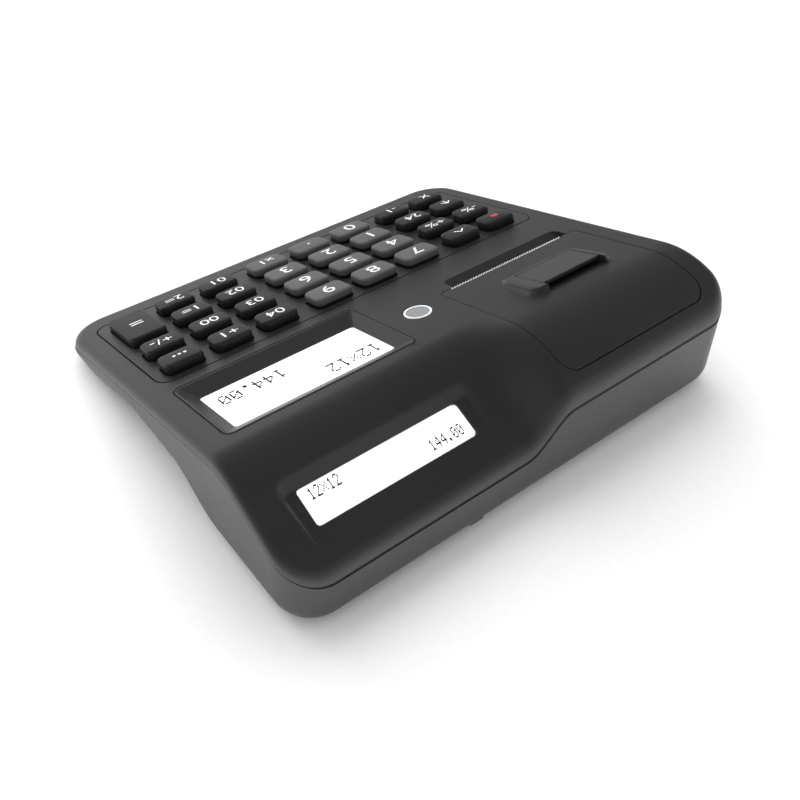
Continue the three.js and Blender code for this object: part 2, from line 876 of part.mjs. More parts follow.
const platen = fromPanel(platenAlong, -platenDepth);
const bracketLeft = platenLeft - gap - bracketWall;
const bracketRight = platenRight + gap;
const gearLeft = bracketRight + bracketWall + gap;
const frameRight = gearLeft + gearWidth + 3 * gap;
const frameLeft = bracketLeft - bracketWall - gap - frameWall;
const gearDistance = (gearModule * (platenTeeth + pinionTeeth)) / 2 + gearBacklash;
const liftAngle = Math.atan2(hingeZ - platen.z, hingeY - platen.y);
const pinion = {
  y: platen.y + gearDistance * Math.sin(liftAngle),
  z: platen.z - gearDistance * Math.cos(liftAngle),
};

function gearProfile(teeth, turn) {
  const pitchRadius = (gearModule * teeth) / 2;
  const tip = pitchRadius + gearModule * tipShare;
  const root = pitchRadius - gearModule * rootShare;
  const step = (Math.PI * 2) / teeth;
  const points = [];
  for (let tooth = 0; tooth < teeth; tooth += 1) {
    const middle = turn + tooth * step;
    const side = (radius, share) => new THREE.Vector2(
      radius * Math.cos(middle + share * step),
      radius * Math.sin(middle + share * step),
    );
    points.push(side(root, -rootWidthShare), side(tip, -tipWidthShare));
    points.push(side(tip, tipWidthShare), side(root, rootWidthShare));
  }
  return points;
}

// The tooth of one gear points at the other's axis, and the other has a gap there.
const toPinion = Math.atan2(pinion.z - platen.z, pinion.y - platen.y);

function platenGear() {
  const gear = acrossWidth(gearProfile(platenTeeth, toPinion), gearLeft, gearLeft + gearWidth);
  const bore = solidOf(rodAlongX(shaftRadius + gap, gearLeft - overrun,
    gearLeft + gearWidth + overrun, 0, 0, 12));
  return solidOf(gear).subtract(bore).translate([0, platen.y, platen.z]);
}

function motorPinion() {
  const turn = toPinion + Math.PI + Math.PI / pinionTeeth;
  const profile = gearProfile(pinionTeeth, turn);
  const gear = solidOf(acrossWidth(profile, gearLeft - gap, gearLeft + gearWidth + gap));
  const shaftEnd = frameRight + frameWall + gap + frameWall;
  const shaft = solidOf(rodAlongX(motorShaft, gearLeft, shaftEnd, 0, 0, 10));
  return gear.add(shaft).translate([0, pinion.y, pinion.z]);
}

function printerMotor() {
  const face = frameRight + frameWall + gap;
  const can = solidOf(rodAlongX(motorRadius, face, face + motorLength, pinion.y, pinion.z, 20));
  const bore = solidOf(rodAlongX(motorShaft + gap, face - overrun, face + frameWall + gap,
    pinion.y, pinion.z, 10));
  return can.subtract(bore);
}

function platenRoller() {
  const roller = solidOf(rodAlongX(platenRadius, platenLeft, platenRight, platen.y, platen.z, 24));
  const bore = solidOf(rodAlongX(shaftRadius + gap, platenLeft - overrun, platenRight + overrun,
    platen.y, platen.z));
  return roller.subtract(bore);
}

function platenShaft() {
  const end = gearLeft + gearWidth + gap;
  return solidOf(rodAlongX(shaftRadius, bracketLeft - gap, end, platen.y, platen.z, 12));
}

// A plate standing across the width that leans with the thermal head.
function headPlate(near, thickness, below, above, left, right) {
  const box = plate(left, right, -near - thickness, -near, -below, above);
  return solidOf(box.rotateX(headAngle).translate(0, platen.y, platen.z));
}

function thermalHead() {
  return headPlate(platenRadius + gap, headThickness, headBelow, headAbove, platenLeft, platenRight);
}

const leverTip = fromPanel(tongueFront, -tongueDepth);
const frameLow = footHeight + archHeight + floorWall + gap;

function printerFrame() {
  const rear = leverTip.y - catchGap;
  const base = solidOf(plate(frameLeft, frameRight + frameWall, frameFront, archFlatRear,
    frameLow, frameLow + frameBase));
  const sides = [frameLeft, frameRight].map((left) => solidOf(acrossWidth([
    new THREE.Vector2(frameFront, frameLow),
    new THREE.Vector2(platen.y, frameLow),
    new THREE.Vector2(rear, frameHeight - catchBar),
    new THREE.Vector2(rear, leverTip.z + catchBar / 2),
    new THREE.Vector2(rear - catchBar, leverTip.z + catchBar / 2),
    new THREE.Vector2(platen.y + platenRadius + catchBar, frameHeight - catchBar),
    new THREE.Vector2(frameFront, slopeLine(frameFront) - topWall - catchBar),
  ], left, left + frameWall)));
  const bar = solidOf(plate(frameLeft, frameRight + frameWall, rear - catchBar, rear,
    leverTip.z - catchBar / 2, leverTip.z + catchBar / 2));
  const near = platenRadius + gap + headThickness + gap;
  const wall = headPlate(near, frameBase, platen.z - frameLow, 0, frameLeft, frameRight + frameWall);
  const shaftHole = solidOf(rodAlongX(motorShaft * 2, frameRight - overrun, frameRight + overrun,
    pinion.y, pinion.z));
  const floorCut = solidOf(plate(frameLeft - overrun, frameRight + overrun, -halfDepth, halfDepth,
    0, frameLow));
  let frame = base.add(bar).add(wall);
  sides.forEach((side) => {
    frame = frame.add(side);
  });
  return frame.subtract(shaftHole).subtract(floorCut);
}

// Bucket for the paper roll, with ears that carry the cover's hinge pins

const barMiddle = (barLeft + barRight) / 2;
const bucketLeft = barMiddle - rollWidth / 2;
const bucketRight = barMiddle + rollWidth / 2;
const bucketFloor = footHeight + floorWall + gap;
const rollZ = bucketFloor + bucketWall + rollRadius;

function bowl(radius, top, steps) {
  const reach = Math.acos((rollZ - top) / radius);
  return spread(-reach, reach, steps).map((angle) => new THREE.Vector2(
    rollY + radius * Math.sin(angle),
    rollZ - radius * Math.cos(angle),
  ));
}

function paperBucket() {
  const outerRadius = rollRadius + bucketWall;
  const trough = solidOf(acrossWidth(bowl(outerRadius, bucketLip, 14),
    bucketLeft - bucketWall, bucketRight + bucketWall));
  const foot = solidOf(plate(bucketLeft - bucketWall, bucketRight + bucketWall,
    rollY - bucketFoot, rollY + bucketFoot, bucketFloor, rollZ));
  const hollow = solidOf(rodAlongX(rollRadius, bucketLeft, bucketRight, rollY, rollZ, 28));
  let bucket = trough.add(foot);
  [bucketLeft - bucketWall, bucketRight].forEach((left) => {
    const eye = solidOf(rodAlongX(hingeEye, left, left + bucketWall, hingeY, hingeZ, 16));
    const arm = solidOf(acrossWidth([
      new THREE.Vector2(rollY + rollRadius / 2, rollZ),
      new THREE.Vector2(rollY + rollRadius + bucketWall, rollZ),
      new THREE.Vector2(hingeY - hingeEye / 8, hingeZ - hingeEye),
      new THREE.Vector2(hingeY, hingeZ),
      new THREE.Vector2(hingeY - hingeEye, hingeZ),
      new THREE.Vector2(rollY + rollRadius / 2, bucketLip),
    ], left, left + bucketWall));
    bucket = bucket.add(eye).add(arm);
  });
  const pins = solidOf(rodAlongX(hingePin + gap, coverLeft, coverRight, hingeY, hingeZ));
  return bucket.subtract(hollow).subtract(pins);
}

// Housing halves and cover

function boardPosts() {
  const [w, d] = [bezelWidth / 2 + boardRim - postRadius, bezelDepth / 2 - matRim - postRadius];
  const low = keyBoardTop + gap;
  const places = [-w, w].flatMap((x) => [-d, d].map((y) => [x, bezelMiddle + y]));
  return places.map(([x, y]) => {
    const post = new THREE.CylinderGeometry(postRadius, postRadius, -topWall / 2 - low, 10);
    return onPanel(post.rotateX(Math.PI / 2).translate(x, y, (low - topWall / 2) / 2));
  });
}

function keypadCuts() {
  const [w, d] = [bezelWidth / 2, bezelDepth / 2];
  const seat = plate(-w - gap, w + gap, bezelMiddle - d - gap, bezelMiddle + d + gap,
    -bezelThickness - gap, overrun, bezelCorner + gap, 4);
  const hole = plate(-w + bezelLedge, w - bezelLedge, bezelMiddle - d + bezelLedge,
    bezelMiddle + d - bezelLedge, -topWall - overrun, overrun, bezelCorner - bezelLedge, 2);
  return onPanel(seat).add(onPanel(hole));
}

const body = upperBody();
const shell = body.subtract(upperHollow());

function upperHousing() {
  const rimHole = onPanel(plate(rimLeft, rimRight, rimFront, rimRear,
    -topWall * 2, overrun, rimCorner, 3));
  let housing = shell.add(slotBlock()).add(onPanel(sealSeat())).add(customerBack(body));
  boardPosts().forEach((post) => {
    housing = housing.add(post);
  });
  const window = onSlope(customerWindow(0, -topWall * 2, overrun));
  const opening = coverPrism(coverGap, coverRearGap, slotRear);
  const sideBlocks = [[coverLeft - overrun, slotLeft], [slotRight, coverRight + overrun]];
  let openingFilled = opening;
  sideBlocks.forEach(([left, right]) => {
    openingFilled = openingFilled.subtract(onPanel(plate(left, right, slotRear - overrun,
      coverFront - coverGap, -topWall - overrun, overrun)));
  });
  return housing
    .subtract(keypadCuts())
    .subtract(rimHole)
    .subtract(customerPocket())
    .subtract(window)
    .subtract(onPanel(sealHole()))
    .subtract(slotRamp())
    .subtract(openingFilled);
}

function printerCover() {
  const skin = shell.intersect(coverPrism(0, 0, coverFront));
  const barSeat = onPanel(plate(barLeft - gap, barRight + gap, coverFront - overrun,
    coverFront + barThickness + gap, -topWall * 2, overrun));
  let cover = skin.add(handleWedge()).add(fingerSeat());
  const high = hingeZ + hingeEye / 2 + topWall;
  const outerLeft = bucketLeft - bucketWall - gap;
  const outerRight = bucketRight + bucketWall + gap;
  const arms = [
    { left: outerLeft - hingeArm, pinFrom: outerLeft, pinTo: bucketLeft + gap },
    { left: outerRight, pinFrom: bucketRight - gap, pinTo: outerRight },
  ];
  arms.forEach(({ left, pinFrom, pinTo }) => {
    const eye = solidOf(rodAlongX(hingeEye, left, left + hingeArm, hingeY, hingeZ, 16));
    const web = solidOf(plate(left, left + hingeArm, hingeY - hingeEye * 2, hingeY + hingeEye,
      hingeZ, high));
    const pin = solidOf(rodAlongX(hingePin, pinFrom - gap, pinTo + gap, hingeY, hingeZ, 14));
    const relief = solidOf(rodAlongX(hingeEye + gap, pinFrom, pinTo, hingeY, hingeZ, 16));
    cover = cover.add(eye).add(web.intersect(body)).subtract(relief).add(pin);
  });
  [bracketLeft, bracketRight].forEach((left) => {
    const eye = solidOf(rodAlongX(bracketRadius, left, left + bracketWall, platen.y, platen.z, 16));
    const web = onPanel(plate(left, left + bracketWall, platenAlong - bracketRadius,
      platenAlong + bracketRadius, -platenDepth, -topWall / 2));
    const bore = solidOf(rodAlongX(shaftRadius + gap, left - gap, left + bracketWall + gap,
      platen.y, platen.z));
    cover = cover.add(eye).add(web).subtract(bore);
  });
  return cover.subtract(barSeat).subtract(fingerHollow()).subtract(onPanelSolid(leverClearance()));
}

function onPanelSolid(solid) {
  return solidOf(geometryOf(solid).applyMatrix4(panelMatrix));
}

function tearBar() {
  const length = barRight - barLeft;
  const count = Math.round(length / toothPitch);
  const step = length / count;
  const points = [new THREE.Vector2(barRight, -barHeight), new THREE.Vector2(barLeft, -barHeight)];
  points.reverse();
  const edge = [new THREE.Vector2(barRight, 0)];
  for (let tooth = 0; tooth < count; tooth += 1) {
    const start = barRight - tooth * step;
    edge.push(new THREE.Vector2(start - step / 2, toothHeight), new THREE.Vector2(start - step, 0));
  }
  const outline = extruded([...points, ...edge], 0, barThickness);
  return solidOf(outline.rotateX(Math.PI / 2).translate(0, coverFront + barThickness, 0));
}

function cableNotch() {
  const top = footHeight + notchHeight;
  const [left, right] = [recessLeft + notchShoulder, recessRight - notchShoulder];
  const profile = [
    new THREE.Vector2(recessLeft, -overrun),
    new THREE.Vector2(recessRight, -overrun),
    new THREE.Vector2(recessRight, footHeight),
    new THREE.Vector2((recessRight + right) / 2, footHeight + notchHeight / 4),
    new THREE.Vector2((recessRight + right) / 2 - notchShoulder / 4, top - notchHeight / 4),
    new THREE.Vector2(right - notchShoulder / 4, top),
    new THREE.Vector2(left + notchShoulder / 4, top),
    new THREE.Vector2((recessLeft + left) / 2 + notchShoulder / 4, top - notchHeight / 4),
    new THREE.Vector2((recessLeft + left) / 2, footHeight + notchHeight / 4),
    new THREE.Vector2(recessLeft, footHeight),
  ];
  const depth = 2 * cornerRadius;
  const notch = extruded(profile, 0, depth).rotateX(Math.PI / 2);
  return solidOf(notch.translate(0, halfDepth + depth - cornerRadius, 0));
}

const sockets = [
  { x: powerX, width: powerSize, height: powerSize },
  { x: dataX, width: dataWidth, height: dataHeight },
];

function socketRecess() {
  const rear = halfDepth - sideWall - recessWall / 2;
  return {
    walls: solidOf(plate(recessLeft - recessWall, recessRight + recessWall, recessFront - recessWall,
      halfDepth, 0, recessHeight + recessWall)),
    space: solidOf(plate(recessLeft, recessRight, recessFront, rear, -overrun, recessHeight)),
  };
}

function boardPostsBelow() {
  const [w, d] = [mainBoardWidth / 2 - postInset, mainBoardDepth / 2 - postInset];
  const places = [-w, w].flatMap((x) => [-d, d].map((y) => [mainBoardX + x, mainBoardY + y]));
  const top = mainBoardZ - gap;
  return places.map(([x, y]) => {
    const post = new THREE.CylinderGeometry(postRadius, postRadius, top - footHeight, 12);
    return solidOf(post.rotateX(Math.PI / 2).translate(x, y, (top + footHeight) / 2));
  });
}

const feet = [
  { name: 'foot_front_left', x: -footX, y: footFrontY },
  { name: 'foot_front_right', x: footX, y: footFrontY },
  { name: 'foot_rear_left', x: -footX, y: footRearY },
  { name: 'foot_rear_right', x: footX, y: footRearY },
];

function footSolid({ x, y }, radius, low, high) {
  const foot = new THREE.CylinderGeometry(radius, radius, high - low, 16);
  return solidOf(foot.rotateX(Math.PI / 2).translate(x, y, (low + high) / 2));
}

function lowerHousing() {
  const outer = lowerBody();
  const { walls, space } = socketRecess();
  let housing = outer.subtract(lowerHollow()).add(walls.intersect(outer)).subtract(space);
  boardPostsBelow().forEach((post) => {
    housing = housing.add(post.intersect(outer));
  });
  housing = housing.subtract(cableNotch());
  feet.forEach((foot) => {
    housing = housing.subtract(footSolid(foot, footRadius + gap, -overrun, footHeight + footSeat + gap));
  });
  sockets.forEach(({ x, width, height }) => {
    housing = housing.subtract(solidOf(plate(x - width / 2 - gap, x + width / 2 + gap,
      recessFront - recessWall - overrun, recessFront + overrun,
      socketZ - height / 2 - gap, socketZ + height / 2 + gap)));
  });
  return housing;
}

function powerSocket() {
  const half = powerSize / 2;
  const block = solidOf(plate(powerX - half, powerX + half, recessFront - socketDepth, recessFront,
    socketZ - half, socketZ + half));
  const bore = new THREE.CylinderGeometry(powerBore, powerBore, socketDepth, 16);
  const pin = new THREE.CylinderGeometry(powerPin, powerPin, socketDepth, 8);
  const deep = dataWall * 2;
  return block
    .subtract(solidOf(bore.translate(powerX, recessFront - socketDepth / 2 + deep, socketZ)))
    .add(solidOf(pin.translate(powerX, recessFront - socketDepth / 2 - deep / 4, socketZ)));
}

function dataSocket() {
  const [w, h] = [dataWidth / 2, dataHeight / 2];
  const block = solidOf(plate(dataX - w, dataX + w, recessFront - socketDepth, recessFront,
    socketZ - h, socketZ + h));
  const cavity = solidOf(plate(dataX - w + dataWall, dataX + w - dataWall,
    recessFront - socketDepth + dataWall * 2, recessFront + overrun,
    socketZ - h + dataWall, socketZ + h - dataWall));
  return block.subtract(cavity);
}

function mainBoard() {
  const [w, d] = [mainBoardWidth / 2, mainBoardDepth / 2];
  return solidOf(plate(mainBoardX - w, mainBoardX + w, mainBoardY - d, mainBoardY + d,
    mainBoardZ, mainBoardZ + boardThickness));
}

function batteryPack() {
  const [w, d] = [batteryWidth / 2, batteryDepth / 2];
  const low = footHeight + floorWall + gap;
  return solidOf(plate(batteryX - w, batteryX + w, batteryY - d, batteryY + d,
    low, low + batteryHeight, batteryCorner, 3));
}

// Materials and assembly

function finish(color, roughness, metalness = 0) {
  return new THREE.MeshStandardMaterial({ color, roughness, metalness });
}

const register = new THREE.Group();
const panel = new THREE.Group();
panel.position.set(0, 0, panelHeight);
panel.rotation.x = panelAngle;
register.add(panel);
const rearSlope = new THREE.Group();
rearSlope.position.set(0, customerY, customerZ);
rearSlope.rotation.x = -customerAngle;
register.add(rearSlope);

function addPiece(parent, name, solid, material) {
  const mesh = new THREE.Mesh(geometryOf(solid), material);
  mesh.name = name;
  parent.add(mesh);
}

const casePlastic = () => finish(0x2b2b2d, 0.55);
const darkKeyPlastic = () => finish(0x3a3a3c, 0.6);
const greyKeyPlastic = () => finish(0x6f6f71, 0.6);
const blackPlastic = () => finish(0x161617, 0.6);
const steel = () => finish(0xb8babd, 0.3, 1);
const rubber = () => finish(0x1c1c1d, 0.9);
const boardGreen = () => finish(0x1f5a3c, 0.6);
const glass = () => finish(0xf2f5f6, 0.15);

addPiece(register, 'upper_housing', upperHousing(), casePlastic());
addPiece(register, 'lower_housing', lowerHousing(), casePlastic());
addPiece(panel, 'keypad_bezel', keypadBezel(), casePlastic());
addPiece(panel, 'key_mat', keyMat(), rubber());
addPiece(panel, 'key_board', keyBoard(), boardGreen());
keys.forEach((key) => {
  addPiece(panel, key.name, keySolid(key), key.grey ? greyKeyPlastic() : darkKeyPlastic());
});
addPiece(panel, 'operator_bezel', operatorBezel(), casePlastic());
addPiece(panel, 'operator_display', operatorDisplay(), glass());
addPiece(rearSlope, 'customer_display', customerDisplay(), glass());
addPiece(register, 'printer_cover', printerCover(), casePlastic());
addPiece(panel, 'release_lever', releaseLever(), casePlastic());
addPiece(panel, 'tear_bar', tearBar(), steel());
addPiece(register, 'platen_roller', platenRoller(), rubber());
addPiece(register, 'platen_shaft', platenShaft(), steel());
addPiece(register, 'platen_gear', platenGear(), finish(0xe4e2da, 0.5));
addPiece(register, 'motor_pinion', motorPinion(), finish(0xc9a45c, 0.35, 1));
addPiece(register, 'printer_motor', printerMotor(), steel());
addPiece(register, 'printer_frame', printerFrame(), blackPlastic());
addPiece(register, 'thermal_head', thermalHead(), steel());
addPiece(register, 'paper_bucket', paperBucket(), blackPlastic());
addPiece(panel, 'seal_cup', sealCup(), steel());
addPiece(panel, 'seal_screw', sealScrew(), steel());
addPiece(register, 'main_board', mainBoard(), boardGreen());
addPiece(register, 'battery_pack', batteryPack(), finish(0x2f4f7a, 0.5));
addPiece(register, 'power_socket', powerSocket(), blackPlastic());
addPiece(register, 'data_socket', dataSocket(), blackPlastic());
feet.forEach((foot) => {
  addPiece(register, foot.name, footSolid(foot, footRadius, 0, footHeight + footSeat), rubber());
});

export default register;
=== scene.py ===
# A compact cash register with a receipt printer, dressed for a studio picture.
# Shapes are drawn in millimetres and turned to metres when a piece is finished.
import json
import math
import bmesh
import bpy
from mathutils import Matrix, Vector

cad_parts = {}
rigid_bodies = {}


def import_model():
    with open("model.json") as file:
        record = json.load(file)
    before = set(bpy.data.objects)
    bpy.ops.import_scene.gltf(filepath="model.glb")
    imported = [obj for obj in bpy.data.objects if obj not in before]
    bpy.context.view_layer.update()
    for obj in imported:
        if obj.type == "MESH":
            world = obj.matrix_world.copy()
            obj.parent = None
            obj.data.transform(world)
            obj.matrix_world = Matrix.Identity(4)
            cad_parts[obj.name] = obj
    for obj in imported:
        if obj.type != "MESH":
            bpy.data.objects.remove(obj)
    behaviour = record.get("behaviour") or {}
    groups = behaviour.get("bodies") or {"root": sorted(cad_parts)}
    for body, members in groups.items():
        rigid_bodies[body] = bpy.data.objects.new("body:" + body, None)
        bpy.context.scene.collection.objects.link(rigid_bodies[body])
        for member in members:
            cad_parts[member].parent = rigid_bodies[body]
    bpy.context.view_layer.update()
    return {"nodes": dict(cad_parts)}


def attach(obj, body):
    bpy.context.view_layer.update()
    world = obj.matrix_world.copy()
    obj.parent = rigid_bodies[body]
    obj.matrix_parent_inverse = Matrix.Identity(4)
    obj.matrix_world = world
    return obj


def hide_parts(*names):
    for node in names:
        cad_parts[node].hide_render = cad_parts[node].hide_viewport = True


for leftover in list(bpy.data.objects):
    bpy.data.objects.remove(leftover)
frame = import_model()
scene = bpy.context.scene
mm = 0.001
print("frame loaded:", len(frame["nodes"]), "nodes")


# Colours and nodes

def fromHex(code):
    channels = [int(code[i:i + 2], 16) / 255 for i in (1, 3, 5)]
    linear = [c / 12.92 if c <= 0.04045 else ((c + 0.055) / 1.055) ** 2.4 for c in channels]
    return (*linear, 1)


def addNode(tree, kind, settings=None, links=None):
    node = tree.nodes.new(kind)
    for name, value in (settings or {}).items():
        if isinstance(name, int) or name in node.inputs:
            node.inputs[name].default_value = value
        else:
            setattr(node, name, value)
    for name, source in (links or {}).items():
        tree.links.new(source, node.inputs[name])
    return node


def newMaterial(name, colour, roughness, metallic=0, extras=None):
    material = bpy.data.materials.new(name)
    material.use_nodes = True
    tree = material.node_tree
    shader = tree.nodes["Principled BSDF"]
    shader.inputs["Base Color"].default_value = fromHex(colour)
    shader.inputs["Roughness"].default_value = roughness
    shader.inputs["Metallic"].default_value = metallic
    for socket, value in (extras or {}).items():
        shader.inputs[socket].default_value = value
    place = addNode(tree, "ShaderNodeTexCoord")
    return material, tree, shader, place.outputs["Object"]


def wire(tree, shader, sources):
    for socket, source in sources.items():
        tree.links.new(source, shader.inputs[socket])


def perMetre(size):
    return 1 / (size * mm)


# Moulded ABS: a fine spark grain from the mould, dull between small soft glints, and a slow drift in shade.
# The real grain is about 0.15 mm, drawn coarser so that it shows.
plastics = {
    "case": dict(colour="#1b1b1c", speck="#242425", rough=0.42, gloss=1.0, grain=0.45, drift=40, bump=0.3),
    "darkKey": dict(colour="#1a1a1b", speck="#222224", rough=0.48, gloss=0.6, grain=0.4, drift=20, bump=0.3),
    "greyKey": dict(colour="#4e4e50", speck="#59595b", rough=0.5, gloss=0.6, grain=0.4, drift=20, bump=0.3),
    # the skirt is the key's real stem; its near-black, darker than any key, is painted shade at the foot of
    # each cap
    "skirt": dict(colour="#09090a", speck="#0e0e0f", rough=0.45, gloss=0.5, grain=0.5, drift=20, bump=0.2),
    "frame": dict(colour="#151516", speck="#1d1d1f", rough=0.5, gloss=0.5, grain=0.6, drift=30, bump=0.25),
    "acetal": dict(colour="#dedbd0", speck="#e8e6de", rough=0.4, gloss=0.5, grain=0.5, drift=10, bump=0.1),
}


def mouldedPlastic(name, kind):
    finish = plastics[kind]
    colour, rough = finish["colour"], finish["rough"]
    material, tree, shader, place = newMaterial(name, colour, rough, 0,
                                                {"Specular IOR Level": finish["gloss"]})
    drift = addNode(tree, "ShaderNodeTexNoise", {"Scale": perMetre(finish["drift"]), "Detail": 2.0},
                    {"Vector": place})
    grain = addNode(tree, "ShaderNodeTexNoise",
                    {"Scale": perMetre(finish["grain"]), "Detail": 3.0, "Roughness": 0.6}, {"Vector": place})
    glints = addNode(tree, "ShaderNodeMapRange", {"From Min": 0.3, "From Max": 0.7},
                     {"Value": grain.outputs[0]})
    specks = addNode(tree, "ShaderNodeMix",
                     {"data_type": "RGBA", 6: fromHex(colour), 7: fromHex(finish["speck"])},
                     {0: glints.outputs[0]})
    slow = addNode(tree, "ShaderNodeMapRange", {"From Min": 0.35, "From Max": 0.65, "To Max": 0.5},
                   {"Value": drift.outputs[0]})
    mixed = addNode(tree, "ShaderNodeMix", {"data_type": "RGBA", 7: fromHex(colour)},
                    {0: slow.outputs[0], 6: specks.outputs[2]})
    sheen = addNode(tree, "ShaderNodeMapRange",
                    {"From Min": 0.3, "From Max": 0.7, "To Min": rough - 0.05, "To Max": rough + 0.07},
                    {"Value": grain.outputs[0]})
    bump = addNode(tree, "ShaderNodeBump", {"Strength": finish["bump"], "Distance": 0.06 * mm},
                   {"Height": grain.outputs[0]})
    wire(tree, shader, {"Base Color": mixed.outputs[2], "Roughness": sheen.outputs[0],
                        "Normal": bump.outputs[0]})
    return material


caseAbs = mouldedPlastic("charcoal moulded ABS", "case")
darkKeyAbs = mouldedPlastic("dark key ABS", "darkKey")
greyKeyAbs = mouldedPlastic("grey key ABS", "greyKey")
skirtShadeAbs = mouldedPlastic("key skirt ABS darkened as painted shade", "skirt")
frameAbs = mouldedPlastic("black frame ABS", "frame")
acetal = mouldedPlastic("natural acetal", "acetal")


# A finish with a second colour in the pattern its process leaves: size in mm, spread the noise that shows,
# sheen what the pattern takes from and adds to the roughness, bump its strength and its height in mm
def patterned(name, colour, second, rough, finish):
    material, tree, shader, place = newMaterial(name, colour, rough, finish.get("metallic", 0),
                                                finish.get("extras"))
    if "stretch" in finish:
        place = addNode(tree, "ShaderNodeMapping", {"Scale": finish["stretch"]}, {"Vector": place}).outputs[0]
    pattern = addNode(tree, "ShaderNodeTexNoise",
                      {"Scale": perMetre(finish["size"]), "Detail": finish["detail"]}, {"Vector": place})
    low, high = finish["spread"]
    share = addNode(tree, "ShaderNodeMapRange", {"From Min": low, "From Max": high},
                    {"Value": pattern.outputs[0]})
    first = finish.get("first", colour)
    shade = addNode(tree, "ShaderNodeMix", {"data_type": "RGBA", 6: fromHex(first), 7: fromHex(second)},
                    {0: share.outputs[0]})
    wire(tree, shader, {"Base Color": shade.outputs[2]})
    if "extras" in finish:
        wire(tree, shader, {"Emission Color": shade.outputs[2]})
    if "sheen" in finish:
        less, more = finish["sheen"]
        sheen = addNode(tree, "ShaderNodeMapRange", {"To Min": rough - less, "To Max": rough + more},
                        {"Value": pattern.outputs[0]})
        wire(tree, shader, {"Roughness": sheen.outputs[0]})
    if "bump" in finish:
        strength, height = finish["bump"]
        bump = addNode(tree, "ShaderNodeBump", {"Strength": strength, "Distance": height * mm},
                       {"Height": pattern.outputs[0]})
        wire(tree, shader, {"Normal": bump.outputs[0]})
    return material


# silicone and nitrile rubber: matte, with soft mottling and hardly any gloss
moulded = dict(size=0.8, detail=4.0, spread=(0.35, 0.65), bump=(0.4, 0.1))
rubber = patterned("black rubber", "#151516", "#212122", 0.85, moulded)
platenRubber = patterned("platen rubber", "#1d1e20", "#2a2b2d", 0.85, moulded)

# rolled sheet and drawn rod: fine lines along the width stretch the highlights across it
rolled = dict(metallic=1, stretch=(0.04, 1.0, 1.0), size=0.25, detail=3.0, spread=(0.3, 0.7),
              sheen=(0.08, 0.1), bump=(0.15, 0.03))
steel = patterned("rolled stainless steel", "#b9bbbe", "#d3d5d7", 0.3, rolled)
brass = patterned("cut brass", "#b8924a", "#cfae6c", 0.32, rolled)

# frosted zinc plate and dull lead foil: the zinc's near-white, hardly metallic colour is painted reflection,
# the gleam of bright metal drawn into its colour so it stays light from every side; the lead keeps its own
# dull grey
frosted = dict(metallic=0.15, size=1.2, detail=4.0, spread=(0.35, 0.65), bump=(0.2, 0.03))
paintedBrightZinc = patterned("zinc plate, pale as painted reflection", "#f2f3f4", "#e6e7e9", 0.5, frosted)
lead = patterned("dull lead foil", "#8f9194", "#86888b", 0.6, frosted)

# shrink film round cells: thin glossy vinyl with slack ripples
slack = dict(first="#24405f", size=9, detail=2.0, spread=(0.0, 1.0), bump=(0.3, 0.6))
batteryFilm = patterned("blue shrink film", "#28466b", "#2f5180", 0.25, slack)

# backlit liquid crystal: an even white field, brighter than the room light makes it
backlit = dict(first="#f3f6f7", size=25, detail=1.0, spread=(0.0, 1.0), extras={"Emission Strength": 0.75})
lcdPanel = patterned("backlit liquid crystal panel", "#f4f6f7", "#ffffff", 0.3, backlit)

# pad-printed ink: opaque and a little uneven where it lies on the grain
printed = dict(size=0.5, detail=2.0, spread=(0.4, 0.8))
whiteInk = patterned("white pad-printed ink", "#f0f0f0", "#d8d8d9", 0.5, printed)
redInk = patterned("red pad-printed ink", "#c02a30", "#a3242a", 0.5, printed)
lcdInk = patterned("dark liquid crystal dots", "#1b1d20", "#26282b", 0.5, printed)


# Printed circuit board: green solder mask over tracks, seen as a slightly lighter mesh of bands
def solderMask(name):
    material, tree, shader, place = newMaterial(name, "#17452f", 0.35, 0,
                                                {"Coat Weight": 0.4, "Coat Roughness": 0.2})
    colours = {"Color1": fromHex("#17452f"), "Color2": fromHex("#1b4d35"), "Mortar": fromHex("#2c6b4a")}
    bands = addNode(tree, "ShaderNodeTexBrick", {"Scale": perMetre(6), "Mortar Size": 0.02, **colours},
                    {"Vector": place})
    wire(tree, shader, {"Base Color": bands.outputs[0]})
    return material


boardMask = solderMask("green solder mask")


# Mesh helpers

def roundedBlock(left, right, front, rear, low, high, radius=0, steps=8):
    bm = bmesh.new()
    bmesh.ops.create_cube(bm, size=1)
    bmesh.ops.scale(bm, vec=(right - left, rear - front, high - low), verts=bm.verts)
    middle = ((left + right) / 2, (front + rear) / 2, (low + high) / 2)
    bmesh.ops.translate(bm, vec=middle, verts=bm.verts)
    if radius:
        roundOff(bm, uprights(bm), radius, steps)
    return bm


def uprights(bm):
    return [e for e in bm.edges if abs(e.verts[0].co.z - e.verts[1].co.z) > 1e-4]


def roundOff(bm, edges, width, steps):
    bmesh.ops.bevel(bm, geom=edges, offset=width, offset_type="OFFSET", segments=steps, profile=0.5,
                    affect="EDGES", material=-1)


def cornered(left, right, front, rear, low, high, frontRadius, rearRadius, steps):
    bm = roundedBlock(left, right, front, rear, low, high)
    corners = [(left, front), (right, front)], [(left, rear), (right, rear)]
    for radius, places in zip((frontRadius, rearRadius), corners):
        if radius:
            spots = [Vector((*place, 0)) for place in places]
            near = [e for e in uprights(bm)
                    if all(min((Vector((*v.co.xy, 0)) - s).length for s in spots) < 1e-4 for v in e.verts)]
            roundOff(bm, near, radius, steps)
    return bm


def cylinder(radius, depth, segments=64, edge=0, steps=3):
    bm = bmesh.new()
    bmesh.ops.create_cone(bm, cap_ends=True, segments=segments, radius1=radius, radius2=radius, depth=depth)
    if edge:
        roundOff(bm, [e for e in bm.edges if e.calc_face_angle(0) > 1], edge, steps)
    return bm


def grown(form, gap):
    return form["left"] - gap, form["right"] + gap, form["front"] - gap, form["rear"] + gap


def midway(form):
    return (form["left"] + form["right"]) / 2


